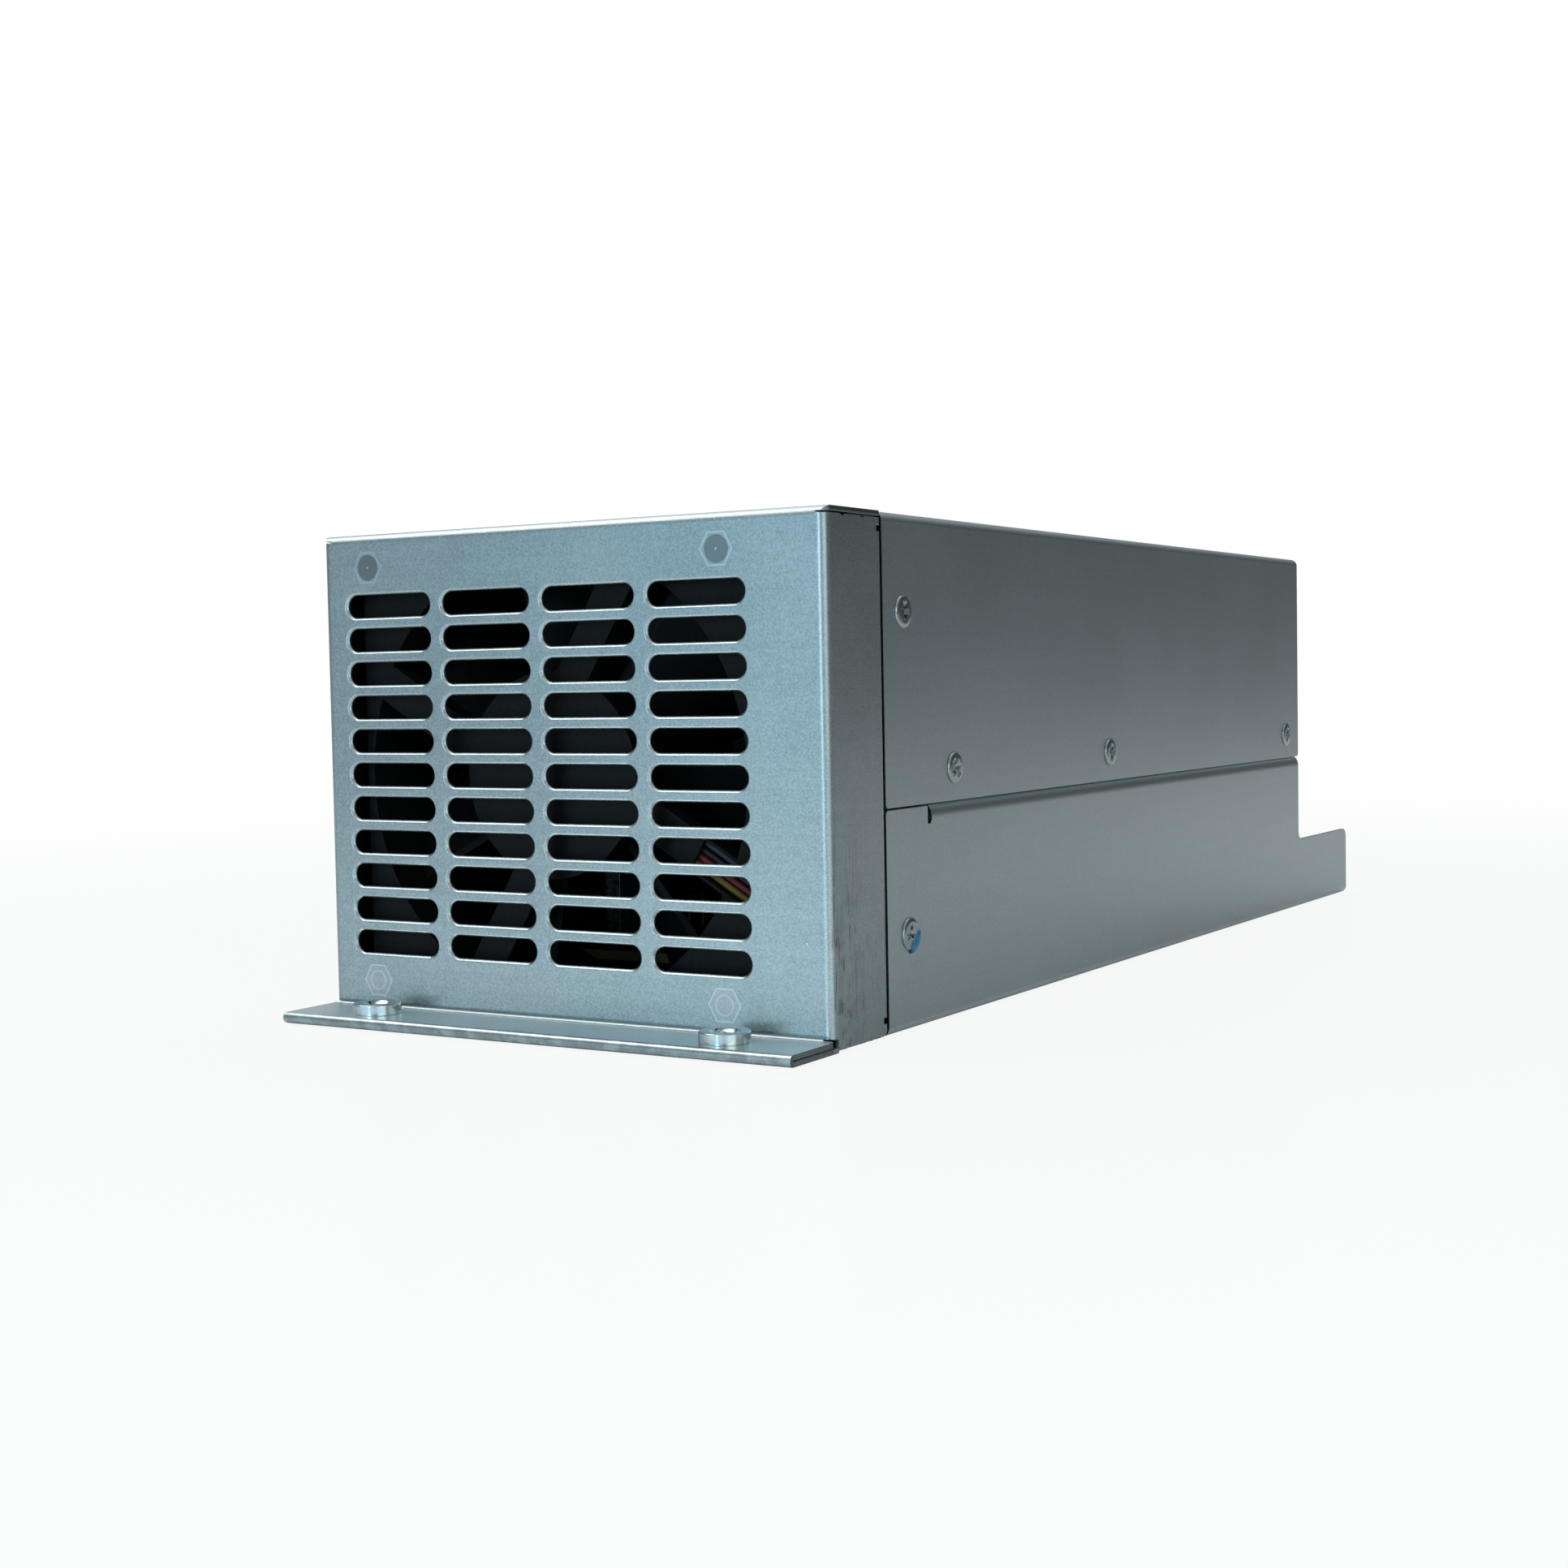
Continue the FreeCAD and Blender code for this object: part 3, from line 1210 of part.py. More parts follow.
def heatsinks():
    """Both heat sinks with their transistors, rectifiers, bridge and screws."""
    row = device_places(SIZES["device_count"])
    device_legs = SIZES["device_legs"]
    screw = small_screw("device_screw", "dims.device_screw_length")
    places = []
    for sign, rotation in (("1", FACING_LEFT), ("-1", FACING_RIGHT)):
        places += [(f"{sign} * (dims.heatsink_face - dims.device_depth)", f"{heatsink_y} + {place}",
                    f"{board_top} + {device_hole_height}", rotation) for place in row]
    places.append(("-(dims.heatsink_face - dims.bridge_depth)", f"{heatsink_y} + {bridge_place}",
                   f"{board_top} + {device_hole_height}", FACING_RIGHT))
    return [
        heatsink("left_heatsink", "-1", row + [bridge_place]),
        heatsink("right_heatsink", "1", row),
        devices("switch_transistors", "-1", "dims.device_width", "dims.device_depth", device_legs, row),
        devices("output_rectifiers", "1", "dims.device_width", "dims.device_depth", device_legs, row),
        devices("bridge_rectifier", "-1", "dims.bridge_width", "dims.bridge_depth",
                SIZES["bridge_legs"], [bridge_place]),
        copies("device_screws", screw, places),
    ]


def wound_ring(label, x, y, diameter, hole, height):
    """Toroidal choke that lies flat on the board: a bevelled section turned about its axis."""
    body = new_body(label, x, y, board_top)
    sketch = new_sketch(body, f"{label}_section", "XZ_Plane")
    inside = f"{hole} / 2"
    outside = f"{diameter} / 2"
    bevel = "dims.choke_bevel"
    outline(sketch, [
        (f"{inside} + {bevel}", "0"),
        (f"{outside} - {bevel}", "0"),
        (outside, bevel),
        (outside, f"{height} - {bevel}"),
        (f"{outside} - {bevel}", height),
        (f"{inside} + {bevel}", height),
        (inside, f"{height} - {bevel}"),
        (inside, bevel),
    ])
    revolve(body, sketch, "V_Axis")
    return body


def transformer():
    """Ferrite core with two windows and the winding round its middle leg."""
    y = f"({transformer_y} + dims.winding_overhang)"
    core = new_body("transformer_core", "0", y, board_top)
    face = new_sketch(core, "core_face", "XZ_Plane")
    half = "dims.core_width / 2"
    rectangle(face, f"-{half}", "0", half, "dims.core_height")
    for sign in ("1", "-1"):
        rectangle(face, f"{sign} * dims.core_centre_leg / 2", "dims.core_yoke",
                  f"{sign} * ({half} - dims.core_leg)", "dims.core_height - dims.core_yoke")
    pad(core, face, "dims.core_depth", 1)
    winding = new_body("transformer_winding", "0", y, f"{board_top} + dims.core_yoke")
    turns = new_sketch(winding, "winding_outline", "XY_Plane")
    reach = f"({half} - dims.core_leg - dims.winding_gap)"
    leg = "(dims.core_centre_leg / 2 + dims.clinch_gap)"
    rectangle(turns, f"-{reach}", "-dims.winding_overhang", reach, "dims.core_depth + dims.winding_overhang")
    rectangle(turns, f"-{leg}", "-dims.winding_gap", leg, "dims.core_depth + dims.winding_gap")
    pad(winding, turns, "dims.core_height - 2 * dims.core_yoke", 1)
    round_edges(winding, "dims.winding_radius", *[
        {"x": f"{sign} * {reach}", "y": place} for sign in ("1", "-1")
        for place in ("-dims.winding_overhang", "dims.core_depth + dims.winding_overhang")])
    return [core, winding]


def can_row(label, x, y, diameter, height, row):
    """Round capacitors in a row, each a can with a crimp near its foot and a rounded top."""
    body = new_body(label, x, y, board_top)
    sketch = new_sketch(body, f"{label}_can", "XZ_Plane")
    radius = f"{diameter} / 2"
    waist = f"({radius} - dims.bulk_crimp)"
    outline(sketch, [
        ("0", "0"),
        (radius, "0"),
        (radius, "dims.bulk_crimp_height - dims.bulk_crimp"),
        (waist, "dims.bulk_crimp_height"),
        (radius, "dims.bulk_crimp_height + dims.bulk_crimp"),
        (radius, f"{height} - dims.can_radius"),
        (f"{radius} - dims.can_radius", height),
        ("0", height),
    ])
    can = revolve(body, sketch, "V_Axis")
    repeat(body, [can], row)
    return body


def boxes(label, x, y, size, count=1, pitch="0"):
    """Moulded boxes side by side with rounded top edges."""
    width, depth, height = size
    body = new_body(label, x, y, board_top)
    sketch = new_sketch(body, f"{label}_base", "XY_Plane")
    for index in range(count):
        rectangle(sketch, f"{index} * {pitch}", "0", f"{index} * {pitch} + {width}", depth)
    pad(body, sketch, height, 1)
    round_edges(body, "dims.edge_radius", {"z": height})
    return body


def control_boards():
    """Upright control board on its header, with three chips on its rear face."""
    width = "dims.control_width"
    x = f"-{width} / 2"
    header = block("control_header", x, control_y, board_top,
                   (width, "dims.control_header_depth", "dims.control_header_height"))
    top = f"{board_top} + dims.control_header_height"
    board_face = f"{control_y} + dims.control_header_depth / 2"
    board = block("control_board", x, board_face, top,
                  (width, "dims.control_thickness", "dims.control_height"))
    chips = new_body("control_chips", "0", f"{board_face} + dims.control_thickness", top)
    sketch = new_sketch(chips, "chip_outlines", "XZ_Plane")
    middle = "dims.control_height / 2"
    first = "-(dims.chip_count - 1) / 2 * dims.chip_pitch"
    reach = "dims.chip_size / 2"
    rectangle(sketch, f"{first} - {reach}", f"{middle} - {reach}",
              f"{first} + {reach}", f"{middle} + {reach}")
    chip = pad(chips, sketch, "dims.chip_thickness", 1)
    repeat(chips, [chip], ("X_Axis", "dims.chip_count", "dims.chip_pitch"))
    return [header, board, chips]


def filter_row():
    """Line filter choke, film capacitors, relay and output capacitors in a row across the board."""
    left = f"(-{board_half} + dims.row_side_gap)"
    choke_x = f"({left} + dims.filter_choke_diameter / 2)"
    film_x = f"({left} + dims.filter_choke_diameter + dims.filter_gap)"
    relay_x = f"({film_x} + dims.film_pitch + dims.film_width + dims.filter_gap)"
    can_x = f"({relay_x} + dims.relay_width + dims.filter_gap + dims.output_can_diameter / 2)"
    can_y = f"({filter_y} + dims.output_can_diameter / 2)"
    return [
        wound_ring("filter_choke", choke_x, f"{filter_y} + dims.filter_choke_diameter / 2",
                   "dims.filter_choke_diameter", "dims.filter_choke_hole", "dims.filter_choke_height"),
        boxes("film_capacitors", film_x, filter_y, ("dims.film_width", "dims.film_depth", "dims.film_height"),
              2, "dims.film_pitch"),
        boxes("inrush_relay", relay_x, filter_y,
              ("dims.relay_width", "dims.relay_depth", "dims.relay_height")),
        can_row("output_capacitors", can_x, can_y, "dims.output_can_diameter", "dims.output_can_height",
                ("Y_Axis", "2", "dims.output_can_pitch")),
    ]


# Rear tongue

def terminals():
    """Barrier terminal block, its clamp plates and its screws."""
    span = "(dims.terminal_count * dims.terminal_pitch + dims.terminal_wall)"
    left = f"(-{board_half} + dims.row_side_gap)"
    block_body = new_body("terminal_block", left, terminal_y, board_top)
    side = new_sketch(block_body, "terminal_side", "YZ_Plane")
    low = "(dims.terminal_base - dims.terminal_step)"
    outline(side, [
        ("0", "0"),
        ("dims.terminal_depth", "0"),
        ("dims.terminal_depth", low),
        ("dims.terminal_back", low),
        ("dims.terminal_back", "dims.terminal_base"),
        ("0", "dims.terminal_base"),
    ])
    pad(block_body, side, span, 1)
    barrier_sketch = new_sketch(block_body, "barrier", "YZ_Plane")
    rectangle(barrier_sketch, "0", low, "dims.terminal_depth", f"{low} + dims.terminal_wall_rise")
    barrier = pad(block_body, barrier_sketch, "dims.terminal_wall", 1)
    repeat(block_body, [barrier], ("X_Axis", "dims.terminal_count + 1", "dims.terminal_pitch"))
    holes = new_sketch(block_body, "terminal_hole", "XY_Plane", low)
    screw_x = "((dims.terminal_pitch + dims.terminal_wall) / 2)"
    screw_y = "((dims.terminal_back + dims.terminal_depth) / 2)"
    circle(holes, screw_x, screw_y, "dims.terminal_screw / 2 + dims.thread_gap")
    hole = pocket(block_body, holes, f"min({low}; dims.terminal_screw_length)", -1)
    repeat(block_body, [hole], ("X_Axis", "dims.terminal_count", "dims.terminal_pitch"))

    plates = new_body("terminal_plates", left, terminal_y, f"{board_top} + {low}")
    plate_sketch = new_sketch(plates, "plate", "XY_Plane")
    rectangle(plate_sketch, "dims.terminal_wall + dims.plate_gap", "dims.terminal_back + dims.plate_gap",
              "dims.terminal_pitch - dims.plate_gap", "dims.terminal_depth - dims.plate_gap")
    circle(plate_sketch, screw_x, screw_y, "dims.terminal_screw / 2 + dims.plate_gap / 2")
    plate = pad(plates, plate_sketch, "dims.plate_thickness", 1)
    repeat(plates, [plate], ("X_Axis", "dims.terminal_count", "dims.terminal_pitch"))

    screw = pan_screw("terminal_screw", "dims.terminal_screw", "dims.terminal_screw_head",
                      "dims.terminal_screw_head_height", f"min({low}; dims.terminal_screw_length)")
    places = [(f"{left} + {screw_x} + {index} * dims.terminal_pitch", f"{terminal_y} + {screw_y}",
               f"{board_top} + {low} + dims.plate_thickness", UPRIGHT)
              for index in range(SIZES["terminal_count"])]
    return [block_body, plates, copies("terminal_screws", screw, places)]


def signal_connector():
    """Box header that opens to the rear."""
    screw_clear = "(dims.board_hole_inset + dims.screw_head / 2 + dims.row_side_gap)"
    x = f"({board_half} - {screw_clear} - dims.connector_width)"
    body = new_body("signal_connector", x, f"{board_end_y} - dims.connector_depth", board_top)
    outside = new_sketch(body, "connector_outside", "XZ_Plane")
    rectangle(outside, "0", "0", "dims.connector_width", "dims.connector_height")
    pad(body, outside, "dims.connector_depth", 1)
    mouth = new_sketch(body, "connector_mouth", "XZ_Plane", "dims.connector_depth")
    wall = "dims.connector_wall"
    rectangle(mouth, wall, wall, f"dims.connector_width - {wall}", f"dims.connector_height - {wall}")
    pocket(body, mouth, "dims.connector_depth - dims.connector_floor", -1)
    return body


def input_fuse():
    """Fuse tube with end caps, in two clips on the board."""
    right = f"({board_half} - dims.row_side_gap)"
    left = f"({right} - dims.fuse_length)"
    middle_y = f"({terminal_y} + dims.fuse_diameter)"
    middle_z = f"({board_top} + dims.fuse_rise + dims.clip_thickness + dims.fuse_diameter / 2)"
    fuse = new_body("input_fuse", left, middle_y, middle_z)
    profile = new_sketch(fuse, "fuse_profile", "XZ_Plane")
    cap = "dims.fuse_diameter / 2"
    tube = f"({cap} - dims.fuse_step)"
    outline(profile, [
        ("0", "0"),
        ("0", cap),
        ("dims.fuse_cap_length", cap),
        ("dims.fuse_cap_length", tube),
        ("dims.fuse_length - dims.fuse_cap_length", tube),
        ("dims.fuse_length - dims.fuse_cap_length", cap),
        ("dims.fuse_length", cap),
        ("dims.fuse_length", "0"),
    ])
    revolve(fuse, profile, "H_Axis")

    clips = new_body("fuse_clips", left, middle_y, board_top)
    clip_sketch = new_sketch(clips, "clip", "YZ_Plane", "(dims.fuse_cap_length - dims.clip_length) / 2")
    inside = "(dims.fuse_diameter / 2 + dims.clinch_gap)"
    outside = f"({inside} + dims.clip_thickness)"
    floor = "dims.fuse_rise"
    high = "(dims.fuse_rise + dims.clip_height)"
    outline(clip_sketch, [
        (f"-{outside}", "0"),
        (outside, "0"),
        (outside, high),
        (inside, high),
        (inside, f"{floor} + dims.clip_thickness - dims.clinch_gap"),
        (f"-{inside}", f"{floor} + dims.clip_thickness - dims.clinch_gap"),
        (f"-{inside}", high),
        (f"-{outside}", high),
    ])
    clip = pad(clips, clip_sketch, "dims.clip_length", 1)
    repeat(clips, [clip], ("X_Axis", "2", "dims.fuse_length - dims.fuse_cap_length"))
    return [fuse, clips]


nodes = [front_panel(), chassis_tray(), top_cover(), rear_panel()]
nodes += fasteners()
nodes += [fan_frame(), fan_impeller()]
nodes += fan_motor()
nodes += [fan_lead(f"fan_lead_{colour}", place) for place, colour in enumerate(LEADS)]
nodes += fan_connector()
nodes += [main_board(), insulating_sheet()]
nodes += heatsinks()
nodes.append(wound_ring("power_choke", "0", f"{heatsink_y} + dims.choke_diameter / 2",
                        "dims.choke_diameter", "dims.choke_hole", "dims.choke_height"))
nodes += transformer()
nodes.append(can_row("bulk_capacitors", "-(dims.bulk_count - 1) / 2 * dims.bulk_pitch",
                     f"{bulk_y} + dims.bulk_diameter / 2", "dims.bulk_diameter", "dims.bulk_height",
                     ("X_Axis", "dims.bulk_count", "dims.bulk_pitch")))
nodes += control_boards()
nodes += filter_row()
nodes += terminals()
nodes.append(signal_connector())
nodes += input_fuse()

doc.recompute()
failed = [item.Name for item in doc.Objects if {"Invalid", "Error"} & set(item.State)]
failed += [node.Label for node in nodes if node.Shape.isNull() or not node.Shape.isValid()]
if failed:
    raise RuntimeError(f"failed objects: {failed}")
os.makedirs("parts", exist_ok=True)
for node in nodes:
    node.Shape.exportStep(f"parts/{node.Label}.step")
    print(f"{node.Label}: {len(node.Shape.Solids)} solids, {node.Shape.Volume / 1000:.2f} cm3")
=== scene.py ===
# %% [markdown]
# # Charger power module
# The object is a long box, folded from zinc-coated sheet steel and screwed together. A fan draws air
# through the slotted front. The construction is already drawn and packed, so this lesson loads it,
# sets up a studio, mixes the finishes and refines every piece that a viewer looks at closely.

import json
import math
import random

import bmesh
import bpy
from mathutils import Matrix, Vector

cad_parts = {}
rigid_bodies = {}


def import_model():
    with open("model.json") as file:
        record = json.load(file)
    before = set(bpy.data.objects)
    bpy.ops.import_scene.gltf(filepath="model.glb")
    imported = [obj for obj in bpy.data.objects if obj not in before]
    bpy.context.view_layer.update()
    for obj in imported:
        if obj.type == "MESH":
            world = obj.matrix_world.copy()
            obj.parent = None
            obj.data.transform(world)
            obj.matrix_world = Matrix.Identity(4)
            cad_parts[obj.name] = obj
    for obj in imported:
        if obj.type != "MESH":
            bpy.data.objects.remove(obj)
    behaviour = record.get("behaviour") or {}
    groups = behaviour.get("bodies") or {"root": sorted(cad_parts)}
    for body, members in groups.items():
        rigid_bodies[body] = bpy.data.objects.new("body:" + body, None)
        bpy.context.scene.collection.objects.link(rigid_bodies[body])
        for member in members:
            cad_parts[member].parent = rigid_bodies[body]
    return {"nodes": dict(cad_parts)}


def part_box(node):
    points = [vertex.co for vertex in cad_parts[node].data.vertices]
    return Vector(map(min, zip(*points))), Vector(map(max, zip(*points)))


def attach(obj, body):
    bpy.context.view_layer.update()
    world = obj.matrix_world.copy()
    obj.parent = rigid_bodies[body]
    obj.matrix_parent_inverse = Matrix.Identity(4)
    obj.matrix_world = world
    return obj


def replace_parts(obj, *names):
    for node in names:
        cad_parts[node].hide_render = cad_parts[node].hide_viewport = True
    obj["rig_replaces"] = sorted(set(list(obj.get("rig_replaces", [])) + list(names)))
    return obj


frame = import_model()
scene = bpy.context.scene
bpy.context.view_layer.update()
nodes = frame["nodes"]
MM = 0.001
front_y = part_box("fan_standoffs")[0].y
side_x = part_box("top_cover")[1].x
seam_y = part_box("top_cover")[0].y
fan_x, fan_z = -5.5 * MM, 48.6 * MM
half_pitch = 41.25 * MM


def centre(box):
    """Middle of a box of two corners."""
    return (box[0] + box[1]) / 2


print(f"{len(nodes)} CAD pieces, front sheet at y = {front_y / MM:.2f} mm")

# %% [markdown]
# ## Camera
# The photograph was taken from the right of the grille, a little below the top edge and nearly level.
# The lens, place and tilt were fitted to the edges of the case, so the render lines up with the photo.

# %% Camera
camera_place = Vector((247.5, -474.0, 66.4)) * MM
camera_azimuth = math.radians(31.117)
camera_elevation = math.radians(2.795)
camera_roll = math.radians(1.07)

ahead = Vector((-math.sin(camera_azimuth) * math.cos(camera_elevation),
                math.cos(camera_azimuth) * math.cos(camera_elevation),
                -math.sin(camera_elevation)))
level = Vector((math.cos(camera_azimuth), math.sin(camera_azimuth), 0))
turned_by_roll = Matrix.Rotation(camera_roll, 3, ahead)
right = turned_by_roll @ level
up = turned_by_roll @ level.cross(ahead)
camera = bpy.data.objects.new("camera", bpy.data.cameras.new("camera"))
camera.data.sensor_width = 36
camera.data.lens = 49.8
camera.data.clip_start = 0.01
camera.matrix_world = Matrix((right, up, -ahead)).transposed().to_4x4()
camera.location = camera_place
scene.collection.objects.link(camera)
scene.camera = camera
scene.view_settings.view_transform = "Standard"
print(f"camera looks along {tuple(round(value, 3) for value in ahead)}")

# %% [markdown]
# ## Building shader nodes
# Every finish is a small network of nodes. To keep it readable, the output of a node is wrapped as a wire.
# Sums, products and comparisons of wires add Math nodes, and other common nodes are methods of a wire. The
# sign for "or" takes the larger value, which joins two masks.

# %% Helpers for shader nodes
def fill(socket, value):
    """Links a wire to an input, or sets the input to a constant."""
    if isinstance(value, Wire):
        value.tree.links.new(value.output, socket)
    else:
        socket.default_value = value


def add(tree, kind, inputs=None, **settings):
    """One node with its settings. Its inputs are given by name or number."""
    node = tree.nodes.new(kind)
    for name, value in settings.items():
        setattr(node, name, value)
    for name, value in (inputs or {}).items():
        fill(node.inputs[name], value)
    return node


def wires(tree, kind, inputs=None, **settings):
    """All outputs of a new node, by name."""
    return {output.name: Wire(tree, output) for output in add(tree, kind, inputs, **settings).outputs}


class Wire:
    """Output of a node, as something to calculate with."""

    def __init__(self, tree, output):
        self.tree = tree
        self.output = output

    def then(self, kind, inputs, output=0, **settings):
        """One output of a further node."""
        return Wire(self.tree, add(self.tree, kind, inputs, **settings).outputs[output])

    def math(self, operation, *others):
        return self.then("ShaderNodeMath", dict(enumerate((self, *others))), operation=operation)

    def __add__(self, other):
        return self.math("ADD", other)

    def __sub__(self, other):
        return self.math("SUBTRACT", other)

    def __rsub__(self, other):
        return self.then("ShaderNodeMath", {0: other, 1: self}, operation="SUBTRACT")

    def __mul__(self, other):
        return self.math("MULTIPLY", other)

    def __gt__(self, other):
        return self.math("GREATER_THAN", other)

    def __lt__(self, other):
        return self.math("LESS_THAN", other)

    def __or__(self, other):
        return self.math("MAXIMUM", other)

    def __abs__(self):
        return self.math("ABSOLUTE")

    def remap(self, low, high, to_low=0.0, to_high=1.0):
        """Value moved from one range to another with soft ends, and held inside it."""
        inputs = {"Value": self, "From Min": low, "From Max": high, "To Min": to_low, "To Max": to_high}
        return self.then("ShaderNodeMapRange", inputs, "Result", interpolation_type="SMOOTHSTEP")

    def mix(self, first, second):
        """Colour that is first where this value is 0, and second where it is 1."""
        first, second = [(*c, 1) if isinstance(c, tuple) else c for c in (first, second)]
        return self.then("ShaderNodeMix", {0: self, 6: first, 7: second}, 2, data_type="RGBA")

    def scaled(self, share):
        """This colour, made lighter or darker."""
        return self.then("ShaderNodeVectorMath", {0: self, "Scale": share}, "Vector", operation="SCALE")

    def measure(self, operation, *vectors):
        """Number from a Vector Math node, such as a length or a distance."""
        inputs = dict(enumerate((self, *vectors)))
        return self.then("ShaderNodeVectorMath", inputs, "Value", operation=operation)

    def noise(self, scale, detail=2.0, **more):
        """Noise at this place, as a value around one half."""
        inputs = {"Vector": self, "Scale": scale, "Detail": detail, **more}
        return self.then("ShaderNodeTexNoise", inputs, "Fac")

    def mapped(self, **changes):
        """This place, stretched by a Scale or turned by a Rotation."""
        return self.then("ShaderNodeMapping", {"Vector": self, **changes})

    def axes(self):
        return wires(self.tree, "ShaderNodeSeparateXYZ", {0: self}).values()


print("node helpers ready")

# %% [markdown]
# A material starts from Blender's Principled shader. What is the same all over the surface is a constant on
# the shader, and what varies is linked. Patterns read object coordinates, which are the drawing's metres, so
# a mark can be put at a known place.

# %% Helpers for materials and shared groups
class Finish:
    """Material with its shader and its object coordinates."""

    def __init__(self, name, **constants):
        self.material = bpy.data.materials.new(name)
        self.material.use_nodes = True
        self.tree = self.material.node_tree
        self.place = wires(self.tree, "ShaderNodeTexCoord")["Object"]
        self.set(**constants)

    def set(self, **inputs):
        """Fills inputs of the shader, which are given by words such as base_color."""
        for word, value in inputs.items():
            name = word.replace("_", " ").title().replace("Ior", "IOR")
            fill(self.tree.nodes["Principled BSDF"].inputs[name], value)

    def relief(self, height, strength, depth):
        """Bump in the shader's normal, its depth in millimetres."""
        inputs = {"Strength": strength, "Distance": depth * MM, "Height": height}
        self.set(normal=height.then("ShaderNodeBump", inputs))

    def use(self, group, **inputs):
        """Outputs of a shared group that reads this material's coordinates."""
        return wires(self.tree, "ShaderNodeGroup", {"Place": self.place, **inputs}, node_tree=group)


def shader_group(name, numbers, results):
    """Group that reads a place and some numbers, with its input wires and result sockets."""
    tree = bpy.data.node_groups.new(name, "ShaderNodeTree")
    tree.interface.new_socket("Place", in_out="INPUT", socket_type="NodeSocketVector")
    for label, value in numbers.items():
        tree.interface.new_socket(label, in_out="INPUT", socket_type="NodeSocketFloat").default_value = value
    for label in results:
        tree.interface.new_socket(label, in_out="OUTPUT", socket_type="NodeSocketFloat")
    return tree, wires(tree, "NodeGroupInput"), add(tree, "NodeGroupOutput").inputs


print("material helpers ready")

# %% [markdown]
# ## Studio
# The photo shows the module cut out on white, so floor and background are white to the camera. Steel shows
# what stands around it, and the photo tells what that was. The grille mirrors a large bluish window, the
# long side mirrors a dim corner of the room, and the bends catch something bright at the right front. The
# world paints these as soft patches on a grey room, and metal sees very little of the white background.

# %% World
ROOM_GREY = (0.18, 0.222, 0.24)
WHITE_IN_METAL = 0.04
ROOM_PATCHES = {  # direction, cosines at the patch's edge and core, colour
    "dim corner": ((0.56, 0.82, 0.12), 0.76, 0.985, (0.05, 0.06, 0.064)),
    "window": ((-0.14, -0.99, 0.0), 0.77, 0.985, (0.57, 1.0, 1.28)),
    "right front": ((0.87, -0.49, 0.10), 0.90, 0.985, (1.4, 1.65, 1.75)),
    "overhead": ((0, 0, 1), 0.25, 0.95, (0.6, 0.66, 0.68)),
}


def studio_world():
    world = bpy.data.worlds.new("studio")
    scene.world = world
    world.use_nodes = True
    tree = world.node_tree
    direction = wires(tree, "ShaderNodeTexCoord")["Generated"]
    colour = ROOM_GREY
    for aim, edge, core, tint in ROOM_PATCHES.values():
        towards = direction.measure("DOT_PRODUCT", Vector(aim).normalized())
        colour = towards.remap(edge, core).mix(colour, tint)
    rays = wires(tree, "ShaderNodeLightPath")
    mirrored = (rays["Is Glossy Ray"] | rays["Is Transmission Ray"]) * WHITE_IN_METAL
    seen = rays["Is Camera Ray"] | mirrored
    fill(tree.nodes["Background"].inputs["Color"], seen.mix(colour, (1, 1, 1)))


studio_world()
print(f"world with {len(ROOM_PATCHES)} patches ready")

# %% [markdown]
# The floor is a large pale sheet. To the camera it glows towards white, a little less near the object, so a
# faint contact shadow stays. Metal sees a pale, cool strip before the foot that fades to the left and far in
# front, a weaker glow behind, and a dim area past the table's edge on the right.

# %% Floor and lamps
def floor_finish():
    finish = Finish("floor", base_color=(0.68, 0.71, 0.72, 1), roughness=0.2)
    rays = wires(finish.tree, "ShaderNodeLightPath")
    metal = rays["Is Glossy Ray"]
    x, y, _ = finish.place.axes()
    glow = finish.place.measure("LENGTH").remap(0.15, 0.8, 0.9, 1.0)
    near_foot = y.remap(-0.155, -0.20, 0.0, 0.8)
    far_front = y.remap(-0.9, -0.35, 0.4, 1.0)
    to_left = x.remap(-0.17, -0.04, 0.2, 1.0)
    before = near_foot * far_front * to_left
    behind = y.remap(0.0, 0.45, 0.11, 0.36)
    past_table = x.remap(0.26, 0.75, 0.0, 0.8)
    share = (rays["Is Camera Ray"] | metal * (before | behind | past_table)) * glow
    colour = ((before > 0.01) * metal).mix((1, 1, 1), (0.76, 1.0, 1.11))
    colour = (x.remap(0.26, 0.6) * metal).mix(colour, (0.215, 0.24, 0.25))
    white = colour.then("ShaderNodeEmission", {"Color": colour, "Strength": 1.0})
    painted = Wire(finish.tree, finish.tree.nodes["Principled BSDF"].outputs[0])
    mixed = share.then("ShaderNodeMixShader", {0: share, 1: painted, 2: white})
    fill(finish.tree.nodes["Material Output"].inputs["Surface"], mixed)
    return finish


def placed(shape, name):
    mesh = bpy.data.meshes.new(name)
    shape.to_mesh(mesh)
    shape.free()
    holder = bpy.data.objects.new(name, mesh)
    scene.collection.objects.link(holder)
    return holder


def studio_floor():
    shape = bmesh.new()
    bmesh.ops.create_grid(shape, x_segments=1, y_segments=1, size=12)
    floor = placed(shape, "floor")
    floor.location.z = -0.3 * MM
    floor.data.materials.append(floor_finish().material)


def soft_lamp(name, place, aim, size, power, colour):
    """Rectangular area lamp that points at aim."""
    lamp = bpy.data.lights.new(name, "AREA")
    lamp.shape = "RECTANGLE"
    lamp.size, lamp.size_y = size
    lamp.energy = power
    lamp.color = colour
    holder = bpy.data.objects.new(name, lamp)
    holder.location = place
    holder.rotation_euler = (Vector(aim) - Vector(place)).to_track_quat("-Z", "Y").to_euler()
    scene.collection.objects.link(holder)


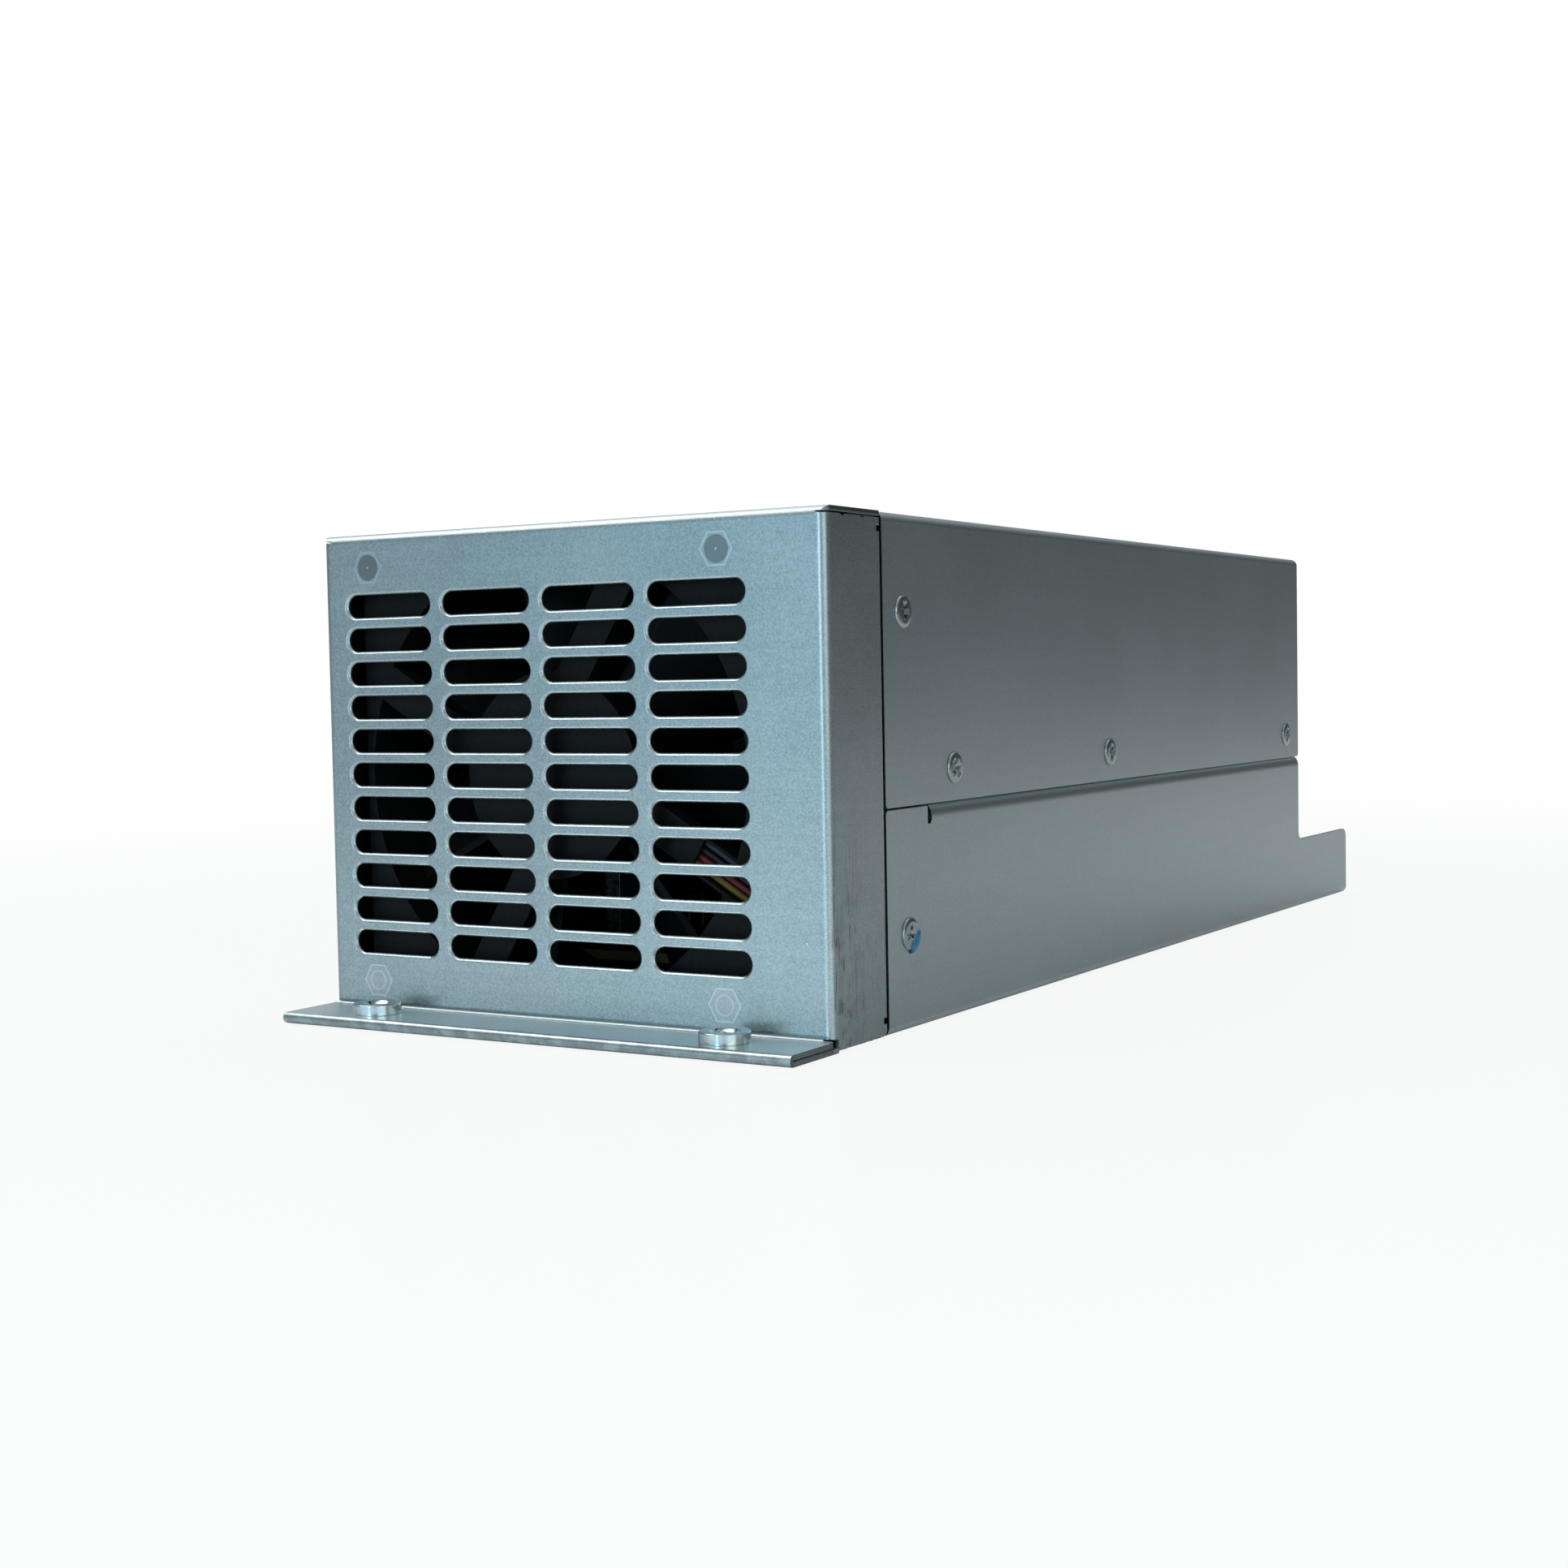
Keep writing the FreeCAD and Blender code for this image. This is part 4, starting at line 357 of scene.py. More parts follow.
LAMPS = {  # place, aim, width and height, power, colour
    "window": ((0.02, -1.6, 0.35), (0, -0.1, 0.05), (0.26, 0.8), 1.7, (0.78, 0.96, 1.0)),
    "ceiling": ((-0.45, 0.3, 1.35), (0, 0.05, 0), (1.6, 1.6), 9, (0.97, 0.99, 1.0)),
    "skylight": ((-0.66, -0.30, 0.98), (0, -0.14, 0.05), (0.55, 0.55), 2.8, (0.90, 0.98, 1.0)),
}
studio_floor()
for lamp_name, settings in LAMPS.items():
    soft_lamp(lamp_name, *settings)
print("floor and three lamps ready")

# %% [markdown]
# ## Working on copies of the drawn pieces
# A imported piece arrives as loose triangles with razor-sharp edges. Real sheet metal and mouldings have small
# rounded edges that catch the light. So a copy of each visible piece is joined up, its flat faces are made
# whole, and its sharp edges get a narrow bevel. The copy then stands in for the drawn piece.

# %% Helpers for refined copies
JOIN_DISTANCE = 0.002 * MM
TINY = 0.0005 * MM


def joined_copy(name):
    """A CAD piece as a bmesh, its triangles joined and its flat faces made whole."""
    shape = bmesh.new()
    shape.from_mesh(nodes[name].data)
    bmesh.ops.remove_doubles(shape, verts=shape.verts, dist=JOIN_DISTANCE)
    bmesh.ops.dissolve_limit(shape, angle_limit=math.radians(0.5), verts=shape.verts, edges=shape.edges)
    return shape


def sharp_edges(shape, least=55):
    """Edges where two faces meet at more than so many degrees."""
    limit = math.radians(least)
    return [edge for edge in shape.edges if edge.is_manifold and edge.calc_face_angle() > limit]


def soften(shape, edges, width, segments=2, profile=0.5):
    """Narrow bevel, its width in millimetres. A profile of 0.5 is round and 0.25 is flat."""
    bmesh.ops.bevel(shape, geom=edges, offset=width * MM, offset_type="OFFSET", affect="EDGES",
                    segments=segments, profile=profile, material=-1, clamp_overlap=False)


def keep_piece(shape, name, finish, body="chassis", node=None):
    """Turns a bmesh into a finished piece that rides on its body."""
    bmesh.ops.dissolve_degenerate(shape, dist=0.0006 * MM, edges=shape.edges)
    piece = placed(shape, name)
    piece.data.shade_smooth()
    piece.data.set_sharp_from_angle(angle=math.radians(42))
    piece.data.materials.append(finish.material)
    piece.modifiers.new("even_shading", "WEIGHTED_NORMAL").keep_sharp = True
    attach(piece, body)
    if node:
        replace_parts(piece, node)
    print(f"{name}: {len(piece.data.polygons)} faces")


def dress(shape, node, finish, body="chassis"):
    """Finished piece that stands in for a CAD node."""
    keep_piece(shape, f"{node}_dressed", finish, body, node)


def refine(name, finish, width=0.0, body="chassis", least=55, skip=None):
    """Softened copy of a CAD piece in its place. Edges for which skip is true stay sharp."""
    shape = joined_copy(name)
    if width:
        soften(shape, [edge for edge in sharp_edges(shape, least) if not (skip and skip(edge))], width)
    dress(shape, name, finish, body)


print("copy helpers ready")

# %% [markdown]
# ## Zinc-coated sheet
# Hot-dip zinc on thin sheet is a satin grey with a fine crystalline grain, faint cloudy patches and a hint of
# the rolling direction. The grain is a shared group, because the sheets, the screws and the nuts all have
# it at different strengths. Noise at several scales makes it: sparkle, clouds and rolled streaks.

# %% Zinc grain group
def zinc_grain_group():
    numbers = {"Sparkle": 1.0, "Cloud": 1.0}
    tree, given, wanted = shader_group("zinc_grain", numbers, ["Tone", "Roughness", "Height"])
    place = given["Place"]
    height = place.noise(3200.0, Roughness=0.6)
    grain = height - 0.5
    cloud = place.noise(210.0, 3.0) - 0.5
    patch = place.noise(38.0, 3.0) - 0.5
    rolled = place.mapped(Scale=(25, 25, 1100)).noise(1.0) - 0.5
    clouds = (cloud * 0.22 + patch * 0.5 + rolled * 0.3) * given["Cloud"]
    fill(wanted["Tone"], grain * 1.15 * given["Sparkle"] + clouds + 0.5)
    fill(wanted["Roughness"], grain * 0.5 + patch * 0.8 * given["Cloud"] + 0.5)
    fill(wanted["Height"], height)
    return tree


zinc_grain = zinc_grain_group()
print(f"zinc grain group of {len(zinc_grain.nodes)} nodes")

# %% [markdown]
# The sheet finish turns the grain into a tone between two greys, a changing roughness and a very low bump.
# Each sheet then adds its own marks, as masks that are set by place. Where the cover and the tray meet the
# front panel, their cut ends are painted near black, as painted shade in the seam.

# %% Sheet finish
# Near black, painted into the seams as painted shade.
SEAM_SHADE_BLACK = (0.02, 0.02, 0.02)


def zinc_sheet(name, sparkle, cloud, marked):
    """Zinc finish. Marked is a function that adds the sheet's own marks to colour and height."""
    finish = Finish(name, metallic=1.0)
    grain = finish.use(zinc_grain, Sparkle=sparkle, Cloud=cloud)
    colour = grain["Tone"].remap(0.15, 0.85).mix((0.365, 0.405, 0.412), (0.615, 0.68, 0.687))
    colour, height = marked(finish.place, colour, grain["Height"])
    finish.set(base_color=colour, roughness=grain["Roughness"].remap(0.2, 0.8, 0.27, 0.38))
    finish.relief(height, 0.16 * sparkle, 0.04)
    return finish


def cover_marks(place, colour, height):
    x, y, _ = place.axes()
    # Painted shade: the cut ends of cover and tray at the front seam are near black.
    in_seam_shade = (abs(x) < side_x - 0.3 * MM) * (y < seam_y + 0.06 * MM)
    return in_seam_shade.mix(colour, SEAM_SHADE_BLACK), height


sheet_steel = zinc_sheet("zinc_sheet", 0.56, 0.2, cover_marks)
print("plain sheet finish ready")

# %% [markdown]
# The front panel has more marks. Its right side flange is a little darker and was dragged over something in
# handling, so dark upright scratches lie on its lower half. Along the fold to the foot lies painted shade, the
# foot is painted lighter as painted light, and its hem is rubbed. One small pit beside the grille has painted
# shade in it and a painted highlight beside it. The bend to the top is painted darker as painted shade, the
# cut ends of foot and top flange are dark, and the cut ends at the seam are painted black as painted shade.

# %% Front sheet finish
CUT_GREY = (0.1, 0.102, 0.1)
foot_x = max(vert.co.x for vert in nodes["front_panel"].data.vertices)


def flange_marks(place, on_foot, broken, colour):
    """Darker side flange with upright scratches low down, mostly near the bend."""
    x, y, z = place.axes()
    on_side = x.remap(side_x - 0.9 * MM, side_x - 0.2 * MM) * (1 - on_foot)
    low_down = z.remap(52 * MM, 20 * MM)
    near_bend = y.remap(front_y + 16 * MM, front_y + 3 * MM) + 0.25
    streaks = place.mapped(Scale=(1, 2300, 80)).noise(1.0, 3.0, Distortion=0.6).remap(0.42, 0.64)
    scratched = streaks * broken.remap(0.34, 0.62) * on_side * low_down * near_bend
    colour = (on_side * 0.17).mix(colour, (0.1, 0.1, 0.1))
    return (scratched * 0.75).mix(colour, (0.17, 0.172, 0.168))


def hypotenuse(across, rise):
    """Distance from two offsets at a right angle."""
    return (across * across + rise * rise).math("SQRT")


def foot_marks(place, on_foot, broken, colour):
    """Painted shade along the fold, painted light on the foot, rubbed hem and dark cut ends."""
    x, y, z = place.axes()
    from_fold = hypotenuse(y - (front_y - 0.35 * MM), z - 2.55 * MM)
    # Painted shade: darker close along the fold from the panel to the foot.
    colour = from_fold.remap(0.9 * MM, 0.5 * MM, 0.0, 0.6).mix(colour, (0.10, 0.11, 0.115))
    # Painted light: the whole foot is painted lighter.
    colour = (on_foot * (z < 2.4 * MM)).mix(colour, colour.scaled(1.76))
    at_hem = y.remap(front_y - 13.6 * MM, front_y - 14.4 * MM)
    colour = (at_hem * broken.remap(0.3, 0.65, 0.5, 0.78)).mix(colour, (0.25, 0.252, 0.24))
    at_end = abs(x) > foot_x - 0.06 * MM
    return (at_end * on_foot * 0.85).mix(colour, CUT_GREY)


def top_marks(place, colour):
    """Painted shade on the bend to the top flange, and its darker cut ends."""
    x, _, z = place.axes()
    # Painted shade: the bend to the top flange is darkened.
    colour = z.remap(95.2 * MM, 96.1 * MM, 0.0, 0.5).mix(colour, (0.24, 0.26, 0.265))
    at_end = (z > 95.4 * MM) * (abs(x) > side_x - 0.12 * MM)
    return (at_end * 0.7).mix(colour, CUT_GREY)


def front_marks(place, colour, height):
    _, y, _ = place.axes()
    on_foot = y < front_y
    broken = place.noise(330.0)
    colour = flange_marks(place, on_foot, broken, colour)
    colour = foot_marks(place, on_foot, broken, colour)
    # A small dent: painted shade darkens it, and a painted highlight sits on its lower right.
    pit_place = Vector((53.1 * MM, front_y, 19.5 * MM))
    glint_place = pit_place + Vector((0.14, 0, -0.12)) * MM
    pit_and_shade = place.measure("DISTANCE", pit_place).remap(0.45 * MM, 0.2 * MM)
    painted_glint = place.measure("DISTANCE", glint_place).remap(0.32 * MM, 0.16 * MM)
    colour = (pit_and_shade * 0.6).mix(colour, (0.2, 0.22, 0.23))
    colour = painted_glint.mix(colour, (0.92, 0.94, 0.95))
    colour = top_marks(place, colour)
    # Painted shade: the panel's cut ends at the seam are near black.
    in_seam_shade = y > seam_y - 0.96 * MM
    return in_seam_shade.mix(colour, SEAM_SHADE_BLACK), height - pit_and_shade * 6.0


front_steel = zinc_sheet("zinc_front_sheet", 0.9, 0.45, front_marks)
print("front sheet finish ready")

# %% [markdown]
# ## Case sheets
# Punched slots have a rolled-over rim where the punch drew the sheet in, and that soft rim is what draws the
# bright line under every slot. So these rims get a wider bevel than the other cut edges. The standoffs'
# seats, the reliefs and the edges along dark gaps stay sharp. The front corners of the top flange are
# rounded, the side flanges are nicked, and their lower edge is ragged. So the flanges are cut into thin
# strips, and points on the cuts are moved.

# %% Front panel
def both(edge, test):
    """Whether both ends of an edge pass a test."""
    return all(test(vert.co) for vert in edge.verts)


def at_fold(edge):
    """Edges along the dark gaps of the hood, which stay crisp."""
    behind_bend = both(edge, lambda point: point.y > front_y + 1.5 * MM)
    under_top = both(edge, lambda point: abs(point.z - 95.35 * MM) < 0.2 * MM)
    at_seam = both(edge, lambda point: abs(point.y - seam_y) < 1.0 * MM)
    return at_seam or (behind_bend and under_top)


def slice_up(shape, axis, places):
    """Cuts every face that crosses one of the places along an axis."""
    for place in places:
        whole = shape.verts[:] + shape.edges[:] + shape.faces[:]
        bmesh.ops.bisect_plane(shape, geom=whole, dist=TINY, plane_co=Vector(axis) * place, plane_no=axis)


def draw_in(vert, distance):
    """Moves a point towards the middle of the case."""
    vert.co.x -= math.copysign(distance, vert.co.x)


def wear_flanges(shape):
    """Rounded corners on the top flange, nicks on the side flanges and a ragged lower edge."""
    chance = random.Random(12)
    count = 34
    corner, corner_depth = 1.8 * MM, 1.2 * MM
    first, last = front_y + 2.2 * MM, seam_y - 1.4 * MM
    lines = [first + (last - first) * number / count for number in range(count + 1)]
    slice_up(shape, (0, 1, 0), [first - 0.5 * MM] + lines)
    ragged = [chance.uniform(-0.10, 0.28) * (1 if number % 5 else 1.6) for number in range(count + 1)]
    nicks = {7: 0.18, 8: 0.42, 9: 0.15, 21: 0.12, 22: 0.34, 23: 0.2}
    for vert in shape.verts:
        back = (vert.co.y - front_y) / corner
        if abs(vert.co.x) > side_x - 0.15 * MM and vert.co.z > 94.6 * MM and back < 1:
            draw_in(vert, corner_depth * (1 - back) ** 2)
        if abs(vert.co.x) < 57.3 * MM or vert.co.y < first - 0.1 * MM:
            continue
        near = min(range(count + 1), key=lambda number: abs(vert.co.y - lines[number]))
        on_line = abs(vert.co.y - lines[near]) <= 0.01 * MM
        if vert.co.z < 1.05 * MM:
            draw_in(vert, 1.25 * MM)
        elif on_line and 1.15 * MM < vert.co.z < 2.2 * MM:
            vert.co.z += (ragged[near] - 0.85) * MM
        elif on_line and abs(vert.co.z - 95.2 * MM) < 0.12 * MM:
            vert.co.z -= nicks.get(near, 0) * MM


def front_panel():
    grille_half, grille_low, grille_high = 49 * MM, 11 * MM, 87 * MM
    head_reach = 4 * MM
    relief_x = 56.4 * MM
    shape = joined_copy("front_panel")
    rims, others = [], []
    for edge in sharp_edges(shape):
        on_face = both(edge, lambda point: abs(point.y - front_y) < 0.01 * MM)
        in_grille = both(edge, lambda point: abs(point.x - fan_x) < grille_half
                         and grille_low < point.z < grille_high)
        round_head = both(edge, lambda point: abs(abs(point.x - fan_x) - half_pitch) < head_reach
                          and abs(abs(point.z - fan_z) - half_pitch) < head_reach)
        in_relief = both(edge, lambda point: abs(abs(point.x) - relief_x) < 0.05 * MM)
        if on_face and in_grille and not round_head:
            rims.append(edge)
        elif not (round_head or in_relief or at_fold(edge)):
            others.append(edge)
    print(f"{len(rims)} slot rims, {len(others)} other sharp edges")
    soften(shape, rims, 0.62, segments=4, profile=0.34)
    soften(shape, [edge for edge in others if edge.is_valid], 0.1)
    wear_flanges(shape)
    dress(shape, "front_panel", front_steel)


front_panel()
for sheet in ("top_cover", "rear_panel"):
    refine(sheet, sheet_steel, 0.1, skip=at_fold)

# %% [markdown]
# The tray's walls step inwards under the cover. A press forms that step as a smooth curve, so the wall is cut
# into thin strips across the step and each row of points is moved onto the curve. Before the slit the front
# tab stays straight, because the slit sets it free.

# %% Tray with its pressed step
def pressed_step(shape):
    start, end, inwards = 39.0 * MM, 42.0 * MM, 1.15 * MM
    drawn_start, drawn_height = 39.3 * MM, 2.8 * MM
    sheet = 1.0 * MM
    slit_end = seam_y + 17.4 * MM
    rows = 16
    slice_up(shape, (0, 0, 1), [start + (end - start) * row / rows for row in range(rows + 1)])
    for vert in shape.verts:
        if not start <= vert.co.z <= end or vert.co.y < slit_end:
            continue
        drawn = inwards * min(max((vert.co.z - drawn_start) / drawn_height, 0), 1)
        outside = abs(vert.co.x) > side_x - drawn - sheet / 2
        share = (vert.co.z - start) / (end - start)
        curve = inwards * share ** 3
        vert.co.x = math.copysign(side_x - curve - (0 if outside else sheet), vert.co.x)


def chassis_tray():
    shape = joined_copy("chassis_tray")
    soften(shape, [edge for edge in sharp_edges(shape) if not at_fold(edge)], 0.1)
    pressed_step(shape)
    dress(shape, "chassis_tray", sheet_steel)


chassis_tray()

# %% [markdown]
# ## Bright zinc hardware
# Screws and clinch nuts are plated, so they are smoother and brighter than the sheet, with a faint blue and
# straw tint from the passivation. The same grain group is used, much weaker. The screws get a darker copy of
# the plate, as painted shade.

# %% Plated finish
def zinc_hardware(name, brightness):
    finish = Finish(name, metallic=1.0)
    grain = finish.use(zinc_grain, Sparkle=0.4, Cloud=0.6)
    plate = finish.place.noise(420.0).remap(0.35, 0.65).mix((0.70, 0.82, 0.86), (0.86, 0.87, 0.79))
    colour = grain["Tone"].remap(0.1, 0.9).mix((0.52, 0.57, 0.58), plate).scaled(brightness)
    finish.set(base_color=colour, roughness=grain["Roughness"].remap(0.2, 0.8, 0.09, 0.2))
    finish.relief(grain["Height"], 0.05, 0.02)
    return finish


plated = zinc_hardware("bright_plate", 1.0)
# Painted shade: a darker copy of the plate for the screw heads.
shaded_screw_plate = zinc_hardware("shaded_screw_plate", 0.62)
print("plated finishes ready")

# %% [markdown]
# ## Screws
# A pan-head screw is a turned part: its outline spun about the axis gives head and shank. The cross recess is
# pressed in afterwards, so two tapered bars are taken out of the head with Boolean modifiers. One template is
# then copied to every place where the drawing has a screw, each turned by a different amount.

# %% Helpers for turned parts
def turned(outline, steps=40):
    """Solid of revolution about Z from (radius, height) points in millimetres."""
    shape = bmesh.new()
    points = [shape.verts.new((radius * MM, 0, height * MM)) for radius, height in outline]
    for before, after in zip(points, points[1:]):
        shape.edges.new((before, after))
    bmesh.ops.spin(shape, geom=shape.verts[:] + shape.edges[:], cent=(0, 0, 0), axis=(0, 0, 1),
                   angle=2 * math.pi, steps=steps, use_merge=True)
    bmesh.ops.remove_doubles(shape, verts=shape.verts, dist=TINY)
    bmesh.ops.recalc_face_normals(shape, faces=shape.faces)
    return shape


def cut_away(shape, *cutters):
    """The shape with the cutters taken out of it."""
    holder, *tools = [placed(solid, "stand_in") for solid in (shape, *cutters)]
    for tool in tools:
        cut = holder.modifiers.new("cut", "BOOLEAN")
        cut.object = tool
        cut.operation = "DIFFERENCE"
        cut.solver = "EXACT"
    result = bmesh.new()
    result.from_object(holder, bpy.context.evaluated_depsgraph_get())
    for used in (holder, *tools):
        mesh = used.data
        bpy.data.objects.remove(used)
        bpy.data.meshes.remove(mesh)
    return result


def at_places(template, places):
    """One mesh with a copy of the template at each place, given as matrices."""
    mesh = bpy.data.meshes.new("template")
    template.to_mesh(mesh)
    template.free()
    whole = bmesh.new()
    for place in places:
        start = len(whole.verts)
        whole.from_mesh(mesh)
        whole.verts.ensure_lookup_table()
        bmesh.ops.transform(whole, matrix=place, verts=whole.verts[start:])
    bpy.data.meshes.remove(mesh)
    return whole


print("turning helpers ready")

# %% Screw template
def recess_bar(length, width, depth, top, turn):
    """Tapered bar that presses one arm of the cross recess."""
    bar = bmesh.new()
    bmesh.ops.create_cube(bar, size=1)
    bmesh.ops.scale(bar, vec=Vector((length, width, 2 * depth)) * MM, verts=bar.verts)
    low = [vert for vert in bar.verts if vert.co.z < 0]
    bmesh.ops.scale(bar, vec=(0.35, 0.75, 1), verts=low)
    bmesh.ops.translate(bar, vec=(0, 0, top * MM), verts=bar.verts)
    bmesh.ops.rotate(bar, cent=(0, 0, 0), matrix=Matrix.Rotation(turn, 3, "Z"), verts=bar.verts)
    return bar


def cross_screw(head, crown, thread, length):
    """Pan-head screw along Z with its seat at zero."""
    rim = head / 2
    core = thread / 2
    body = turned([
        (0, crown), (0.5 * rim, 0.995 * crown), (0.72 * rim, 0.96 * crown), (0.85 * rim, 0.87 * crown),
        (0.94 * rim, 0.68 * crown), (0.985 * rim, 0.45 * crown), (rim, 0.25 * crown), (rim, 0.1 * crown),
        (0.985 * rim, 0.04 * crown), (0.93 * rim, 0), (core, 0), (core, 0.6 - length), (core - 0.5, -length),
        (0, -length),
    ])
    depth = 0.35 + 0.5 * crown
    bars = [recess_bar(0.74 * head, 0.2 * head, depth, crown, turn) for turn in (0, math.pi / 2)]
    return cut_away(body, *bars)


print("screw template ready")

# %% [markdown]
# The drawing knows where every screw is. A node of screws holds several solids, so the code walks over linked
# edges to tell them apart, and takes each one's box as its place. The case screws look almost flush, so their
# crowns are low, and one stopped with its cross upright. The device screws face inwards from both heat sinks.

# %% Screws at their places
CASE_CROWN = 0.55


def solid_boxes(name):
    """Lowest and highest corner of every separate solid in a CAD piece."""
    shape = joined_copy(name)
    waiting = set(shape.verts)
    boxes = []
    while waiting:
        island, to_visit = set(), [waiting.pop()]
        while to_visit:
            vert = to_visit.pop()
            island.add(vert)
            near = {edge.other_vert(vert) for edge in vert.link_edges} & waiting
            waiting -= near
            to_visit.extend(near)
        corners = [vert.co for vert in island]
        boxes.append((Vector(map(min, zip(*corners))), Vector(map(max, zip(*corners)))))
    shape.free()
    return sorted(boxes, key=lambda box: tuple(round(value, 6) for value in box[0]))


def facing(point, axis, turn=0.0):
    """Place for a template that stands on Z: at a point, along an axis, turned about it."""
    lean = Vector((0, 0, 1)).rotation_difference(Vector(axis)).to_matrix().to_4x4()
    return Matrix.Translation(point) @ lean @ Matrix.Rotation(turn, 4, "Z")


def screws(name, axis, seed, head=6.2, height=1.7, crown=1.7, thread=2.9, upright=None):
    """Screws in place of a CAD node. A sideways axis is mirrored on the left side."""
    chance = random.Random(seed)
    places = []
    for number, (low, high) in enumerate(solid_boxes(name)):
        middle = centre((low, high))
        out = Vector((axis[0] * math.copysign(1, middle.x), axis[1], axis[2]))
        end = max(low.dot(out), high.dot(out))
        seat = middle + out * (end - height * MM - middle.dot(out))
        length = abs((high - low).dot(out)) / MM - height
        turn = chance.uniform(0, math.pi / 2)
        places.append(facing(seat, out, 0.0 if number == upright else turn))
    dress(at_places(cross_screw(head, crown, thread, length), places), name, shaded_screw_plate)


screws("cover_screws", (1, 0, 0), seed=4, crown=CASE_CROWN, upright=4)
screws("tray_screws", (1, 0, 0), seed=7, crown=CASE_CROWN)
screws("board_screws", (0, 0, 1), seed=1)
screws("fan_screws", (0, 1, 0), seed=2)
screws("terminal_screws", (0, 0, 1), seed=3, head=7.4, height=2.4, crown=2.4, thread=3.9)
screws("device_screws", (-1, 0, 0), seed=9)

# %% [markdown]
# ## Foot nuts and standoffs
# The two round clinch nuts on the foot are turned parts too: a bright ring with a bevelled rim, a chamfered
# mouth and thread grooves inside. The standoffs behind the grille show only their hexagonal heads, pressed
# flush into the sheet. Their pressing left a dull disc on the upper two and a ring on the lower two. A light
# line round each hexagon is a painted highlight, where the edge of its seat would catch the light.

# %% Foot nuts
def foot_nuts():
    bore, shank, rim = 2.1, 3.15, 4.75
    top, flange, thread_top = 4.3, 2.2, 3.5
    pitch, groove = 0.45, 0.22
    thread = []
    for turn in range(8):
        height = thread_top - pitch * turn
        thread += [(bore + groove, height), (bore, height - pitch / 2)]
    outline = [
        (bore, 0), (shank, 0), (shank, flange), (rim - 0.12, flange), (rim, flange + 0.12), (rim, top - 0.3),
        (rim - 0.08, top - 0.1), (rim - 0.28, top), (bore + 0.75, top), (bore + 0.6, top - 0.05),
        (bore, thread_top + 0.12), *thread, (bore, 0),
    ]
    middles = [centre(box) for box in solid_boxes("foot_nuts")]
    places = [Matrix.Translation((middle.x, middle.y, 0)) for middle in middles]
    dress(at_places(turned(outline, 64), places), "foot_nuts", plated)


foot_nuts()

# %% Standoffs
def standoff_finish():
    finish = Finish("standoff_plate", metallic=1.0)
    grain = finish.use(zinc_grain, Sparkle=0.7, Cloud=0.8)
    x, _, z = finish.place.axes()
    across = abs(x - fan_x) - half_pitch
    rise = abs(z - fan_z) - half_pitch
    radius = hypotenuse(across, rise)
    upper = z > fan_z
    disc = radius.remap(2.65 * MM, 2.5 * MM) * upper
    dot = radius.remap(0.35 * MM, 0.15 * MM) * upper
    ring = abs(radius - 1.85 * MM).remap(0.2 * MM, 0.1 * MM) * (1 - upper)
    # Painted highlight: a light line round each hexagon, where the edge of its seat would catch the light.
    slant = abs(across) * math.cos(math.pi / 6) + abs(rise) * 0.5
    outline = (slant | abs(rise)).remap(2.72 * MM, 2.95 * MM, 0.0, 0.7)
    colour = grain["Tone"].remap(0.1, 0.9).mix((0.42, 0.45, 0.46), (0.64, 0.67, 0.68))
    colour = outline.mix(colour, (0.80, 0.83, 0.83))
    colour = (disc * 0.85).mix(colour, (0.25, 0.26, 0.255))
    colour = ((dot + ring) * 0.6).mix(colour, (0.85, 0.86, 0.84))
    finish.set(base_color=colour, roughness=grain["Roughness"].remap(0.2, 0.8, 0.24, 0.36))
    finish.relief(grain["Height"] * 0.3 - (disc + ring), 0.25, 0.05)
    return finish


refine("fan_standoffs", standoff_finish())
refine("board_standoffs", plated, 0.1)
refine("clinch_nuts", plated, 0.1)

# %% [markdown]
# ## Paint mark
# One screw carries a dab of blue paint, put on after tightening to show that nobody has turned it since. It
# is a short ridge of paint on the lower right of the head, from the crown over the rim to the sheet. A small
# outline is spun part of the way round, its two ends are drawn together, and the result is smoothed, as a
# brush stroke thins out where it starts and ends.

# %% Blue paint mark
def paint_finish():
    finish = Finish("blue_paint", coat_weight=0.4, coat_roughness=0.15)
    streak = finish.place.noise(900.0, 3.0)
    colour = streak.remap(0.3, 0.7).mix((0.006, 0.14, 0.33), (0.015, 0.25, 0.48))
    finish.set(base_color=colour, roughness=streak.remap(0.3, 0.7, 0.25, 0.45))
    finish.relief(streak, 0.3, 0.1)
    return finish


